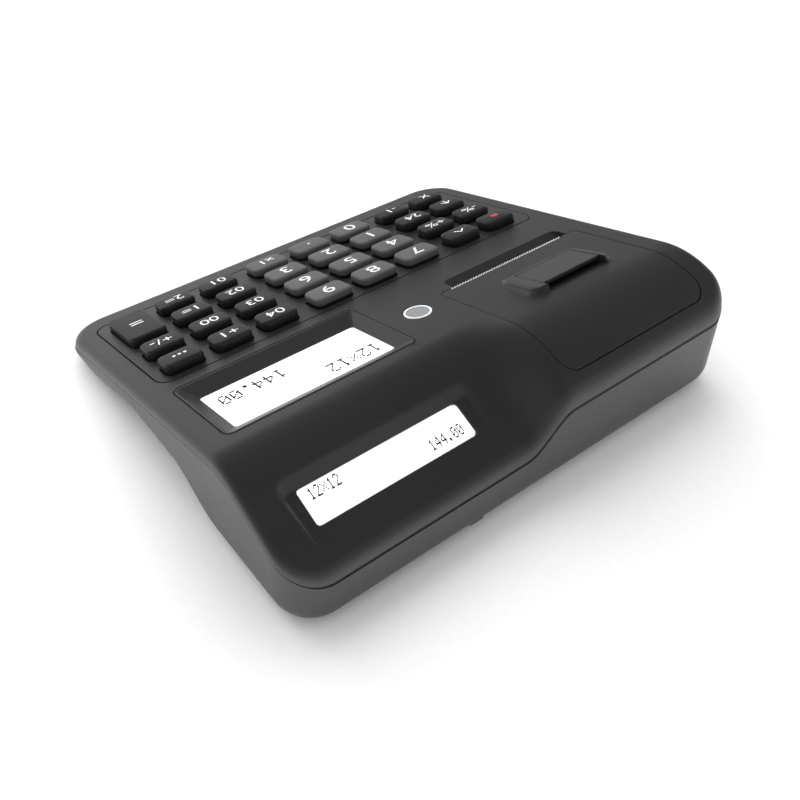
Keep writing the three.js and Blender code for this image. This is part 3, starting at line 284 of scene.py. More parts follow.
def moved(bm, matrix):
    bmesh.ops.transform(bm, matrix=matrix, verts=bm.verts)
    return bm


def edgesAt(bm, height):
    return [e for e in bm.edges if all(abs(v.co.z - height) < 1e-4 for v in e.verts)]


def facesAt(bm, height):
    return [f for f in bm.faces if all(abs(v.co.z - height) < 1e-4 for v in f.verts)]


def pushFace(bm, face, distance):
    grown = bmesh.ops.extrude_discrete_faces(bm, faces=[face])["faces"]
    bmesh.ops.translate(bm, vec=(0, 0, distance), verts=grown[0].verts)
    return grown[0]


# A cutter with a flared mouth at height 0, which leaves a small chamfer round the hole
def holeCutter(left, right, front, rear, low, radius, steps, flare):
    bm = roundedBlock(left - flare, right + flare, front - flare, rear + flare, 0, 12, radius + flare, steps)
    bmesh.ops.inset_region(bm, faces=facesAt(bm, 0), thickness=flare, depth=flare, use_even_offset=True)
    pushFace(bm, facesAt(bm, -flare)[0], low + flare)
    return bm


def meshFrom(bm, name):
    mesh = bpy.data.meshes.new(name)
    bm.to_mesh(mesh)
    bm.free()
    return mesh


def formFrom(mesh):
    bm = bmesh.new()
    bm.from_mesh(mesh)
    return bm


def linked(name, data):
    obj = bpy.data.objects.new(name, data)
    scene.collection.objects.link(obj)
    return obj


def addTo(bm, other):
    carrier = meshFrom(other, "carrier")
    bm.from_mesh(carrier)
    bpy.data.meshes.remove(carrier)


def solidFrom(bm):
    return linked("solid", meshFrom(bm, "solid"))


def carve(target, tool, operation="DIFFERENCE"):
    tool = solidFrom(tool)
    cut = target.modifiers.new("cut", "BOOLEAN")
    cut.operation = operation
    cut.solver = "EXACT"
    cut.object = tool
    bpy.context.view_layer.update()
    result = bpy.data.meshes.new_from_object(target.evaluated_get(bpy.context.evaluated_depsgraph_get()))
    target.modifiers.clear()
    target.data = result
    bpy.data.objects.remove(tool)
    return target


def meshOf(obj):
    bm = formFrom(obj.data)
    bpy.data.objects.remove(obj)
    return bm


def sliceAcross(bm, axis, places):
    normal = Vector(("xyz".index(axis) == 0, "xyz".index(axis) == 1, "xyz".index(axis) == 2))
    for place in places:
        everything = bm.verts[:] + bm.edges[:] + bm.faces[:]
        bmesh.ops.bisect_plane(bm, geom=everything, dist=1e-4, plane_co=normal * place, plane_no=normal)


def evenly(start, end, step):
    count = max(1, round((end - start) / step))
    return [start + (end - start) * i / count for i in range(count + 1)]


# Sharp is the angle past which an edge stays crisp, and stands names the CAD nodes that the piece replaces
def finishPiece(name, bm, body, material, stands=(), sharp=32, weighted=True):
    bmesh.ops.scale(bm, vec=(mm, mm, mm), verts=bm.verts)
    mesh = meshFrom(bm, name)
    mesh.materials.append(material)
    mesh.shade_smooth()
    mesh.set_sharp_from_angle(angle=math.radians(sharp))
    obj = linked(name, mesh)
    if weighted:
        even = obj.modifiers.new("flat faces keep their shade", "WEIGHTED_NORMAL")
        even.keep_sharp = True
    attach(obj, body)
    if stands:
        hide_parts(*stands)


# A CAD node that stays as it is and gets its finish
def coat(node, material):
    frame["nodes"][node].data.materials.clear()
    frame["nodes"][node].data.materials.append(material)


# A finer copy of a CAD node: doubles merged, flat faces joined, crisp edges broken a little
def refined(node, edge, steps):
    bm = formFrom(frame["nodes"][node].data)
    bmesh.ops.scale(bm, vec=(1 / mm, 1 / mm, 1 / mm), verts=bm.verts)
    bmesh.ops.remove_doubles(bm, verts=bm.verts, dist=0.002)
    bmesh.ops.dissolve_limit(bm, angle_limit=math.radians(1), verts=bm.verts, edges=bm.edges)
    crisp = [e for e in bm.edges if e.is_manifold and e.calc_face_angle(0) > math.radians(35)]
    bmesh.ops.bevel(bm, geom=crisp, offset=edge, offset_type="OFFSET", segments=steps, profile=0.5,
                    affect="EDGES", material=-1, clamp_overlap=True)
    return bm


# The register's outer form

caseShape = dict(halfWidth=102, halfDepth=91.5, frontCorner=17.5, rearCorner=14.5, cornerSteps=18,
                 panelAngle=math.radians(15), panelHeight=33.65, wall=3, sideWall=2.5, shoulder=4, seam=4.05,
                 seamGap=0.25, taper=0.4, step=0.5,
                 displayCrest=(43, 20, math.radians(29.5)), printerCrest=(54, 38, math.radians(60)),
                 valley=(-13, 7), roundOut=7.5, roundUp=9, foot=1, arch=(-68, -14, 13, 40), archHeight=12)
pocket = dict(left=14.5, right=87.2, top=65.2, corner=1.5, angle=math.radians(22.9), y=71.6, z=33.77,
              steepness=1.0, soft=0.7, reach=15.2)


def smoothShare(value, start, end):
    t = min(1, max(0, (value - start) / (end - start)))
    return t * t * (3 - 2 * t)


def slopeLine(y):
    return caseShape["panelHeight"] + y * math.tan(caseShape["panelAngle"])


def crested(y, start, radius, endAngle):
    if y <= start:
        return slopeLine(y)
    centreY = start + radius * math.sin(caseShape["panelAngle"])
    centreZ = slopeLine(start) - radius * math.cos(caseShape["panelAngle"])
    endY = centreY + radius * math.sin(endAngle)
    if y <= endY:
        return centreZ + math.sqrt(radius ** 2 - (y - centreY) ** 2)
    return centreZ + radius * math.cos(endAngle) - (y - endY) * math.tan(endAngle)


def topHeight(x, y):
    share = smoothShare(x, *caseShape["valley"])
    printer, display = crested(y, *caseShape["printerCrest"]), crested(y, *caseShape["displayCrest"])
    return printer * (1 - share) + display * share


def pocketPlane(y):
    return pocket["z"] - (y - pocket["y"]) * math.tan(pocket["angle"])


# The recess of the rear display: a flat floor whose banks rise round it, blended softly at the brim
def shellHeight(x, y):
    top = topHeight(x, y)
    if y < pocket["top"] - pocket["reach"] or x < 0:
        return top
    r = pocket["corner"]
    outX = max(pocket["left"] + r - x, x - pocket["right"] + r, 0)
    outY = max(pocket["top"] + r - y, 0)
    outside = max(0, math.hypot(outX, outY) - r)
    bank = pocketPlane(y) + outside * pocket["steepness"]
    blend = max(pocket["soft"] - abs(top - bank), 0) / pocket["soft"]
    return min(top, bank) - blend * blend * pocket["soft"] / 4


def baseHeight(y):
    frontStart, frontEnd, rearStart, rearEnd = caseShape["arch"]
    rise = smoothShare(y, frontStart, frontEnd)
    fall = 1 - smoothShare(y, rearStart, rearEnd)
    return caseShape["foot"] + caseShape["archHeight"] * min(rise, fall)


def tapered(x, y, taper):
    back = (y + caseShape["halfDepth"]) / (2 * caseShape["halfDepth"])
    return x * (1 - taper * back / caseShape["halfWidth"])


def leaning(y, z, angle):
    return Matrix.Translation((0, y, z)) @ Matrix.Rotation(angle, 4, "X")


# The flat layout has the top surface at height 0 all over. Cutters square to the panel are laid into it.
onPanel = leaning(0, caseShape["panelHeight"], caseShape["panelAngle"])
onPocket = leaning(pocket["y"], pocket["z"], -pocket["angle"])


def laidFlat(bm, matrix, plane):
    for v in moved(bm, matrix).verts:
        v.co.z -= plane(v.co.y)
    return bm


def panelCut(target, tool, operation="DIFFERENCE"):
    carve(target, laidFlat(tool, onPanel, slopeLine), operation)


under, over = -8, 4  # a cutter reaches from under the skin to over it
clearance = 0.3  # between neighbours that could touch


def raised(bm, height):
    for v in bm.verts:
        v.co.z += height(v.co.x, v.co.y)
    bmesh.ops.recalc_face_normals(bm, faces=bm.faces)


crestStations = evenly(42.6, 91, 1.5)
valleyStations = evenly(-14, 8, 1.4)
pocketStationsX = evenly(9.5, 15.5, 0.35) + evenly(86.2, 92.2, 0.35)
pocketStationsY = evenly(59, 67, 0.35)

keypad = dict(left=-92.1, right=92.1, front=-81.5, rear=-9.7, corner=6, thickness=1.5, gap=0.3, seam=0.15)
operatorRim = dict(left=13.9, right=91.6, front=-3.3, rear=40.8, corner=3.5, lip=0.9)
screen = dict(left=19.5, right=85.2, front=5.2, rear=33.1, depth=3)
rearWindow = dict(left=19.2, right=83.7, height=13.4, corner=1.3)
lid = dict(left=-89.2, right=-14.9, front=17, rear=84.3, gap=0.3, rearGap=0.5, frontCorner=2, rearCorner=6.5,
           edge=0.12, rearEdge=0.8)
slotShape = dict(left=-84.5, right=-22, front=9, rear=15.3, depth=3.6, corner=3.5, margin=2.5,
                 strip=(2.5, 15.3, -5.5, -1.5))
sealShape = dict(x=0, along=22, radius=5.75, flare=0.45, reach=10)


# A round hole whose mouth flares over the last bit
def sealCutter():
    s = sealShape
    seal = cylinder(s["radius"], 2 * s["reach"])
    everything = seal.verts[:] + seal.edges[:] + seal.faces[:]
    bmesh.ops.bisect_plane(seal, geom=everything, dist=1e-4, plane_co=(0, 0, -s["flare"]), plane_no=(0, 0, 1))
    mouth = 1 + (s["reach"] + s["flare"]) / s["radius"]
    upper = [v for v in seal.verts if v.co.z > 0]
    bmesh.ops.scale(seal, vec=(mouth, mouth, 1), verts=upper)
    return moved(seal, Matrix.Translation((s["x"], s["along"], 0)))


# The way out for the paper, a wedge that deepens towards the tear bar
def rampCutter():
    s = slotShape
    ramp = cornered(s["left"], s["right"], s["front"], lid["front"] + 1, -4, 3, s["corner"], 0, 8)
    slope = s["depth"] / (s["rear"] - s["front"])
    for v in ramp.verts:
        if v.co.z < 0:
            v.co.z = -slope * (v.co.y - s["front"])
    return ramp


def caseTop():
    c = caseShape
    w, d = c["halfWidth"] - c["step"], c["halfDepth"] - c["step"]
    bm = cornered(-w, w, -d, d, -c["seam"], 0, c["frontCorner"] - c["step"], c["rearCorner"] - c["step"],
                  c["cornerSteps"])
    roundOff(bm, edgesAt(bm, 0), c["shoulder"], 8)
    bottom = facesAt(bm, -c["seam"])[0]
    bmesh.ops.inset_region(bm, faces=[bottom], thickness=c["sideWall"], use_even_offset=True)
    bottom = max(facesAt(bm, -c["seam"]), key=lambda f: f.calc_area())
    pushFace(bm, bottom, c["seam"] - c["wall"])
    for v in bm.verts:
        v.co.x = tapered(v.co.x, v.co.y, c["taper"])
    top = solidFrom(bm)
    s = slotShape
    strip = roundedBlock(s["left"] - s["margin"], s["right"] + s["margin"], *s["strip"])
    panelCut(top, strip, "UNION")  # thicker under the paper slot
    k = keypad
    gap, rest = k["gap"], 2
    panelCut(top, holeCutter(*grown(k, gap), -k["thickness"] - gap, k["corner"] + gap, 10, 0.2))
    panelCut(top, roundedBlock(*grown(k, -rest), under, over, 4))  # the plate rests on what this leaves
    panelCut(top, holeCutter(*grown(operatorRim, 0), under, operatorRim["corner"], 8, 0.2))
    panelCut(top, sealCutter())
    g = rearWindow
    window = holeCutter(g["left"], g["right"], -g["height"] / 2, g["height"] / 2, under, g["corner"], 6, 0.15)
    carve(top, laidFlat(window, onPocket, pocketPlane))
    front = lid["front"] * math.cos(c["panelAngle"])
    opening = cornered(lid["left"] - lid["gap"], lid["right"] + lid["gap"], front - lid["gap"],
                       lid["rear"] + lid["rearGap"], under, over, lid["frontCorner"] + lid["gap"],
                       lid["rearCorner"] + lid["gap"], 10)
    carve(top, opening)
    panelCut(top, roundedBlock(s["left"], s["right"], s["rear"], lid["front"] + 2, -12, over))
    panelCut(top, rampCutter())
    bm = meshOf(top)
    sliceAcross(bm, "y", crestStations + pocketStationsY)
    sliceAcross(bm, "x", valleyStations + pocketStationsX + evenly(16, 85, 6))
    raised(bm, shellHeight)
    finishPiece("caseTop", bm, "case", caseAbs, ["upper_housing"], 20)


caseTop()
print("upper shell made")

tray = dict(rim=10, floor=2, inset=3, low=0.6)
recess = dict(left=30, right=78.5, front=62, rear=88, height=16, wall=2, low=1.6, end=89.5)
notch = dict(side=1.6, height=4.9, round=4.8)
lug = dict(side=6.3, front=84, rear=89.7, low=1.7, high=7, corner=2, edge=1.6)
sockets = dict(z=9.5, height=9.6, power=(42, 9.6), data=(62, 13.6))
feetPlaces = {"foot_front_left": (-86, -80.5), "foot_front_right": (86, -80.5), "foot_rear_left": (-86, 78),
              "foot_rear_right": (86, 78)}
foot = dict(radius=5, height=1.7, edge=0.45, seat=5.3, seatDepth=4)


def trayForm(inset, low, high, fillet, steps):
    c = caseShape
    w, d = c["halfWidth"] - inset, c["halfDepth"] - inset
    bm = cornered(-w, w, -d, d, low, high, c["frontCorner"] - inset, c["rearCorner"] - inset,
                  c["cornerSteps"])
    roundOff(bm, edgesAt(bm, low), fillet, steps)
    frontStart, frontEnd, rearStart, rearEnd = c["arch"]
    sliceAcross(bm, "y", evenly(frontStart, frontEnd, 2.5) + evenly(rearStart, rearEnd, 1.8) + crestStations)
    sliceAcross(bm, "x", valleyStations)
    return bm


# Bends a flat tray to the arch and the crests. The rounding under the wall stands taller than it reaches in,
# and gets low where the wall is low.
def stand(bm, topDrop, thickness):
    c = caseShape
    for v in bm.verts:
        high = v.co.z > c["roundOut"] + 1
        x = tapered(v.co.x * (1 - c["step"] / c["halfWidth"] * high), v.co.y, c["taper"] * high)
        top, base = topHeight(x, v.co.y), baseHeight(v.co.y)
        stretch = min(c["roundUp"], top - c["seam"] - c["seamGap"] - base - tray["low"]) / c["roundOut"]
        z = top - topDrop if high else base + thickness + (v.co.z - thickness) * stretch
        v.co = (x, v.co.y, z)
    bmesh.ops.recalc_face_normals(bm, faces=bm.faces)
    return bm


def caseBottom():
    c, t, r, n, g = caseShape, tray, recess, notch, lug
    outer = stand(trayForm(0, 0, t["rim"], c["roundOut"], 10), c["seam"] + c["seamGap"], 0)
    inner = trayForm(t["inset"], t["floor"], t["rim"] + 4, c["roundOut"] - 1.5, 6)
    body = carve(solidFrom(outer), stand(inner, c["seam"] - t["inset"], t["floor"]))
    block = roundedBlock(r["left"] - r["wall"], r["right"] + r["wall"], r["front"] - r["wall"], r["end"],
                         r["low"], r["height"] + r["wall"])
    rear = [e for e in edgesAt(block, r["low"]) if all(v.co.y > r["end"] - 0.5 for v in e.verts)]
    roundOff(block, rear, c["roundOut"], 6)
    carve(body, block, "UNION")
    ear = roundedBlock(r["left"] - g["side"], r["left"] + n["side"], g["front"], g["rear"], g["low"],
                       g["high"], g["corner"], 6)
    roundOff(ear, edgesAt(ear, g["low"]), g["edge"], 4)
    carve(body, ear, "UNION")
    carve(body, roundedBlock(*grown(r, 0), -3, r["height"], 1, 4))
    leads = roundedBlock(r["left"] + n["side"], r["right"] - n["side"], 80, 96, -3, c["foot"] + n["height"])
    upper = [e for e in leads.edges
             if all(v.co.z > 0 for v in e.verts) and abs(e.verts[0].co.y - e.verts[1].co.y) > 1]
    roundOff(leads, upper, n["round"], 8)
    carve(body, leads)
    seats = bmesh.new()
    for x, y in feetPlaces.values():
        addTo(seats, moved(cylinder(foot["seat"], foot["seatDepth"], 40), Matrix.Translation((x, y, 0))))
    carve(body, seats)
    low, high = sockets["z"] - sockets["height"] / 2, sockets["z"] + sockets["height"] / 2
    for x, width in (sockets["power"], sockets["data"]):
        carve(body, roundedBlock(x - width / 2, x + width / 2, r["front"] - 4, r["front"] + 2, low, high))
    finishPiece("caseBottom", meshOf(body), "case", caseAbs, ["lower_housing"])


caseBottom()
print("base tray made")


# Keypad

keyTable = dict(columns=(-76.5, -56, -31.4, -8.8, 13.8, 38.4, 59, 79.6), rearRow=-18.7, pitch=17.05,
                dark=(15.6, 10.8), grey=(17.2, 12), top=4, cap=2.9, edge=1.0, corner=2.7, crown=0.35,
                inset=0.2, rim=0.7, flange=(-2.7, -1.8), holeFlare=0.15)
keyNames = (("red", "minus_percent", "shift", "clear"), ("feed", "plus_percent", "clock", "void"),
            ("7", "4", "1", "0"), ("8", "5", "2", "dot"), ("9", "6", "3", "quantity"),
            ("dept_4", "dept_3", "dept_2", "dept_1"), ("add", "lookup", "pay_1", "pay_2"),
            ("mode", "subtotal", "total"))


def keyPlace(column, row):
    name = keyNames[column][row]
    grey = 2 <= column <= 4
    width, depth = keyTable["grey"] if grey else keyTable["dark"]
    x, y = keyTable["columns"][column], keyTable["rearRow"] - keyTable["pitch"] * row
    if name == "total":
        depth += keyTable["pitch"]
        y -= keyTable["pitch"] / 2
    w, d = width / 2, depth / 2
    return dict(name="key_" + name, x=x, y=y, left=x - w, right=x + w, front=y - d, rear=y + d, grey=grey)


keyPlaces = [keyPlace(column, row) for column, names in enumerate(keyNames) for row in range(len(names))]


def keypadPlate():
    k = keypad
    bm = roundedBlock(*grown(k, -k["seam"]), -k["thickness"], 0, k["corner"], 14)
    roundOff(bm, edgesAt(bm, 0), 0.15, 2)
    plate = solidFrom(bm)
    holes = bmesh.new()
    for key in keyPlaces:
        addTo(holes, holeCutter(*grown(key, k["gap"]), -4, keyTable["corner"] + k["gap"], 6,
                                keyTable["holeFlare"]))
    bm = moved(meshOf(carve(plate, holes)), onPanel)
    finishPiece("keypadPlate", bm, "case", caseAbs, ["keypad_bezel"])


keypadPlate()
print("keypad plate made")


def capHeight(key, x, y):
    across = min(1, abs(x - key["x"]) / (key["right"] - key["x"]))
    along = min(1, abs(y - key["y"]) / (key["rear"] - key["y"]))
    return keyTable["crown"] * (1 - across ** 2) * (1 - along ** 2)


def keyCap(key):
    top = keyTable["top"]
    bottom = top - keyTable["cap"]
    bm = roundedBlock(*grown(key, 0), bottom, top, keyTable["corner"], 8)
    roundOff(bm, edgesAt(bm, top), keyTable["edge"], 5)
    roundOff(bm, edgesAt(bm, bottom), 0.15, 2)
    left, right, front, rear = grown(key, -keyTable["edge"])
    sliceAcross(bm, "x", evenly(left, right, 1.1))
    sliceAcross(bm, "y", evenly(front, rear, 1.1))
    for v in bm.verts:
        lift = (v.co.z - bottom) / keyTable["cap"]
        v.co.z += capHeight(key, v.co.x, v.co.y) * lift ** 2
    material, slotName = (greyKeyAbs, "key_grey") if key["grey"] else (darkKeyAbs, "key_dark")
    name = key["name"]
    finishPiece(name + "_cap", moved(bm, onPanel), name, material, [name], 40, False)


# The stem under each cap, coloured near-black as painted shade where the key meets the plate
def keySkirt(key):
    low, high = keyTable["flange"]
    inset, rim, corner = keyTable["inset"], keyTable["rim"], keyTable["corner"]
    top = keyTable["top"] - keyTable["cap"] + 0.2
    bm = roundedBlock(*grown(key, -inset), high, top, corner - inset, 6)
    flange = roundedBlock(*grown(key, rim), low, high, corner + rim, 6)
    roundOff(flange, edgesAt(flange, high), 0.15, 2)
    addTo(bm, flange)
    finishPiece(key["name"] + "_skirt", moved(bm, onPanel), key["name"], skirtShadeAbs)


# Legends: numbers and plain signs, laid on the crown of each cap as a thin film of ink
legendShape = dict(lift=0.03, figure=8, small=5.8, stroke=0.65, spread=(1.4, 1.15), step=0.9, reach=7)
figures = {"key_7": "7", "key_4": "4", "key_1": "1", "key_0": "0", "key_8": "8", "key_5": "5", "key_2": "2",
           "key_9": "9", "key_6": "6", "key_3": "3", "key_total": "="}
smallWords = {"key_minus_percent": "-%", "key_plus_percent": "+%", "key_dept_4": "04", "key_dept_3": "03",
              "key_dept_2": "02", "key_dept_1": "01", "key_add": "+1", "key_lookup": "00", "key_pay_1": "1=",
              "key_pay_2": "2=", "key_subtotal": "+/-", "key_clock": "24", "key_void": "-1",
              "key_quantity": "x1"}


def flatWords(words, size):
    curve = bpy.data.curves.new("words", "FONT")
    curve.body = words
    curve.size = size
    curve.align_x = "CENTER"
    curve.align_y = "CENTER"
    curve.resolution_u = 5
    obj = linked("words", curve)
    bpy.context.view_layer.update()
    bm = formFrom(bpy.data.meshes.new_from_object(obj))
    bpy.data.objects.remove(obj)
    bmesh.ops.scale(bm, vec=(*legendShape["spread"], 1), verts=bm.verts)
    return bm


def stroke(bm, start, end, width):
    run = Vector(end) - Vector(start)
    turn = Matrix.Rotation(math.atan2(run.y, run.x), 4, "Z")
    middle = (Vector(start) + Vector(end)) / 2
    place = Matrix.Translation((middle.x, middle.y, 0)) @ turn
    bmesh.ops.create_grid(bm, x_segments=4, y_segments=1, size=0.5,
                          matrix=place @ Matrix.Diagonal((run.length + width, width, 1, 1)))


def signOf(name):
    bm = bmesh.new()
    thick = legendShape["stroke"]
    if name == "key_red":
        turned = Matrix.Diagonal((1.1, 0.8, 1, 1)) @ Matrix.Rotation(math.pi / 4, 4, "Z")
        bmesh.ops.create_circle(bm, cap_ends=True, radius=2.3, segments=4, matrix=turned)
    elif name in ("key_shift", "key_feed"):
        stroke(bm, (-2.2, -0.8), (0, 1.4), thick)
        stroke(bm, (2.2, -0.8), (0, 1.4), thick)
        if name == "key_shift":
            stroke(bm, (0, -2.4), (0, 1.2), thick)
    elif name == "key_clear":
        stroke(bm, (-1.8, -1.8), (1.8, 1.8), thick)
        stroke(bm, (-1.8, 1.8), (1.8, -1.8), thick)
    elif name == "key_dot":
        bmesh.ops.create_circle(bm, cap_ends=True, radius=0.6, segments=32)
    elif name == "key_mode":
        for x in (-2.2, 0, 2.2):
            dot = Matrix.Translation((x, 0, 0))
            bmesh.ops.create_circle(bm, cap_ends=True, radius=0.65, segments=24, matrix=dot)
    return bm


def legend(key):
    name = key["name"]
    if name in figures:
        bm = flatWords(figures[name], legendShape["figure"])
    elif name in smallWords:
        bm = flatWords(smallWords[name], legendShape["small"])
    else:
        bm = signOf(name)
    ink = redInk if name == "key_red" else whiteInk
    bmesh.ops.translate(bm, vec=(key["x"], key["y"], 0), verts=bm.verts)
    reach, step = legendShape["reach"], legendShape["step"]
    sliceAcross(bm, "x", evenly(key["x"] - reach, key["x"] + reach, step))
    sliceAcross(bm, "y", evenly(key["y"] - reach, key["y"] + reach, step))
    for v in bm.verts:
        v.co.z = keyTable["top"] + capHeight(key, v.co.x, v.co.y) + legendShape["lift"]
    finishPiece(name + "_legend", moved(bm, onPanel), name, ink, weighted=False)


for keyItem in keyPlaces:
    keyCap(keyItem)
    keySkirt(keyItem)
    legend(keyItem)
print("keys made:", len(keyPlaces))


# Displays

def operatorFrame():
    r, s = operatorRim, screen
    gap, deep = clearance, s["depth"]
    bm = roundedBlock(*grown(r, -gap), -deep - gap, 0, r["corner"] - gap, 8)
    roundOff(bm, edgesAt(bm, 0), 0.25, 3)
    body = solidFrom(bm)
    outer = grown(r, -r["lip"] - gap)
    funnel = roundedBlock(*outer, -deep, 0, 1.6, 8)
    share = dict(x=(s["left"], s["right"], outer[0], outer[1]), y=(s["front"], s["rear"], outer[2], outer[3]))
    for v in funnel.verts:
        if v.co.z < -1:
            for axis, (low, high, fromLow, fromHigh) in share.items():
                part = (getattr(v.co, axis) - fromLow) / (fromHigh - fromLow)
                setattr(v.co, axis, low + (high - low) * part)
    pushFace(funnel, facesAt(funnel, 0)[0], 3)
    pushFace(funnel, facesAt(funnel, -deep)[0], -3)
    bmesh.ops.recalc_face_normals(funnel, faces=funnel.faces)
    bm = meshOf(carve(body, funnel))
    brim = [e for e in edgesAt(bm, 0) if all(inBrim(v.co, outer) for v in e.verts)]
    roundOff(bm, brim, 0.2, 2)
    finishPiece("operatorFrame", moved(bm, onPanel), "case", caseAbs, ["operator_bezel"])


def inBrim(place, outer):
    left, right, front, rear = outer
    slack = 0.05
    return left - slack < place.x < right + slack and front - slack < place.y < rear + slack


operatorFrame()
for display in ("operator_display", "customer_display"):
    coat(display, lcdPanel)
print("display frames made")

# Five by seven dots of each character, one number to a row, the left dot counting sixteen
dotRows = {
    "0": (14, 17, 19, 21, 25, 17, 14), "1": (4, 12, 4, 4, 4, 4, 14), "2": (14, 17, 1, 2, 4, 8, 31),
    "3": (31, 2, 4, 2, 1, 17, 14), "4": (2, 6, 10, 18, 31, 2, 2), "5": (31, 16, 30, 1, 1, 17, 14),
    "6": (6, 8, 16, 30, 17, 17, 14), "7": (31, 1, 2, 4, 8, 8, 8), "8": (14, 17, 17, 14, 17, 17, 14),
    "9": (14, 17, 17, 15, 1, 2, 12), "x": (0, 17, 10, 4, 10, 17, 0), ".": (0, 0, 0, 0, 0, 12, 12),
}
advance = 6  # dots from one character to the next
shownWords = ("12x12", "144.00")
# The customer's display is read from behind, so its figures run the other way
glass = {
    "operator": dict(on=onPanel, turn=1, pitch=(0.74, 1.0), left=22.5, right=82.2, rows=(26, 13.3),
                     z=-3.27),
    "customer": dict(on=onPocket, turn=-1, pitch=(0.4, 0.6), left=-80.5, right=-22, rows=(3.6, -2.1),
                     z=-0.37),
}


def dotWords(words, x, y, turn, pitch):
    bm = bmesh.new()
    across, down = pitch
    for place, character in enumerate(words):
        for row, number in enumerate(dotRows[character]):
            for column in range(5):
                if number & (16 >> column):
                    along = x + (place * advance + column) * across
                    spot = Matrix.Translation((turn * along, turn * (y + (3 - row) * down), 0))
                    dot = spot @ Matrix.Diagonal((across, down, 1, 1))
                    bmesh.ops.create_grid(bm, x_segments=1, y_segments=1, size=0.5, matrix=dot)
    return bm


def displayWords(name):
    g = glass[name]
    turn, pitch = g["turn"], g["pitch"]
    first, second = shownWords
    length = len(second) * advance * pitch[0]
    bm = dotWords(first, g["left"], g["rows"][0], turn, pitch)
    addTo(bm, dotWords(second, g["right"] - length, g["rows"][1], turn, pitch))
    place = g["on"] @ Matrix.Translation((0, 0, g["z"]))
    finishPiece(name + "Figures", moved(bm, place), "case", lcdInk, weighted=False)


for displayName in glass:
    displayWords(displayName)
print("display figures made")


# Printer cover, its handle and the lever in it

handle = dict(left=-76.5, right=-30, front=29.8, rear=52, low=0.8, high=2.8, draw=4.5, corner=4.5, edge=1.4,
              foot=((0, 1.1), (0.18, 0.5), (0.45, 0.15)))
lever = dict(left=-71, right=-41, pivot=32.3, rear=47.6, thickness=1.6, barrel=1.3, pin=0.7, pinLength=1.2,
             gap=0.3, socketGap=0.15, lip=0.6, hollowDepth=1.5, hollowFront=40, skirt=4.3)
tongue = dict(width=8, front=38.2, thickness=1.6, depth=7, swing=3.6)
bar = dict(left=-80.7, right=-20.6, thickness=0.8, edge=0.4, height=2.6, tooth=1.4, rise=0.6, sink=0.35)


def handleTop(along):
    share = (along - handle["front"]) / (handle["rear"] - handle["front"])
    return handle["low"] + (handle["high"] - handle["low"]) * share


leverAxis = handleTop(lever["pivot"]) - lever["barrel"]


def rod(radius, start, end, y, z, segments=48, edge=0):
    place = Matrix.Translation(((start + end) / 2, y, z)) @ Matrix.Rotation(math.pi / 2, 4, "Y")
    return moved(cylinder(radius, end - start, segments, edge), place)


def tongueBlock(gap, swing, low, high):
    reach = tongue["width"] / 2 + gap
    front, rear = tongue["front"] - gap, tongue["front"] + tongue["thickness"] + swing
    return roundedBlock(midway(lever) - reach, midway(lever) + reach, front, rear, low, high)


def handleBlock():
    h = handle
    bm = roundedBlock(*grown(h, 0), -1.5, 1, h["corner"], 8)
    top = facesAt(bm, 1)[0]
    width, depth = h["right"] - h["left"], h["rear"] - h["front"]
    for v in top.verts:
        v.co.x = h["left"] + h["draw"] / 2 + (v.co.x - h["left"]) * (1 - 1.5 * h["draw"] / width)
        v.co.y = h["front"] + (v.co.y - h["front"]) * (1 - h["draw"] / 4 / depth)
        v.co.z = handleTop(v.co.y)
    roundOff(bm, list(top.edges), h["edge"], 5)
    sliceAcross(bm, "z", [height for height, spread in h["foot"]])
    for v in bm.verts:
        spread = next((s for height, s in h["foot"] if v.co.z < height + 0.01), 0)
        v.co.x += spread * 2 * (v.co.x - midway(h)) / width
        v.co.y += spread * 2 * (v.co.y - (h["front"] + h["rear"]) / 2) / depth
    return bm


def fingerHollow():
    s = lever
    under = leverAxis - s["thickness"] - s["gap"]
    start = s["rear"] - 3
    back = handle["rear"] + 1.5
    deep = s["hollowDepth"]
    bm = roundedBlock(s["left"] - s["gap"], s["right"] + s["gap"], s["pivot"], back, -2, 6)
    sliceAcross(bm, "y", [s["hollowFront"], s["hollowFront"] + deep] + evenly(start, back, 0.7)[:-1])
    for v in bm.verts:
        if v.co.z < 0:
            if v.co.y <= s["hollowFront"] + 0.01:
                v.co.z = under
            else:
                share = min(max((v.co.y - start) / (back - start), 0), 1)
                v.co.z = 0.02 - deep * (1 + math.cos(math.pi * share)) / 2
    return bm


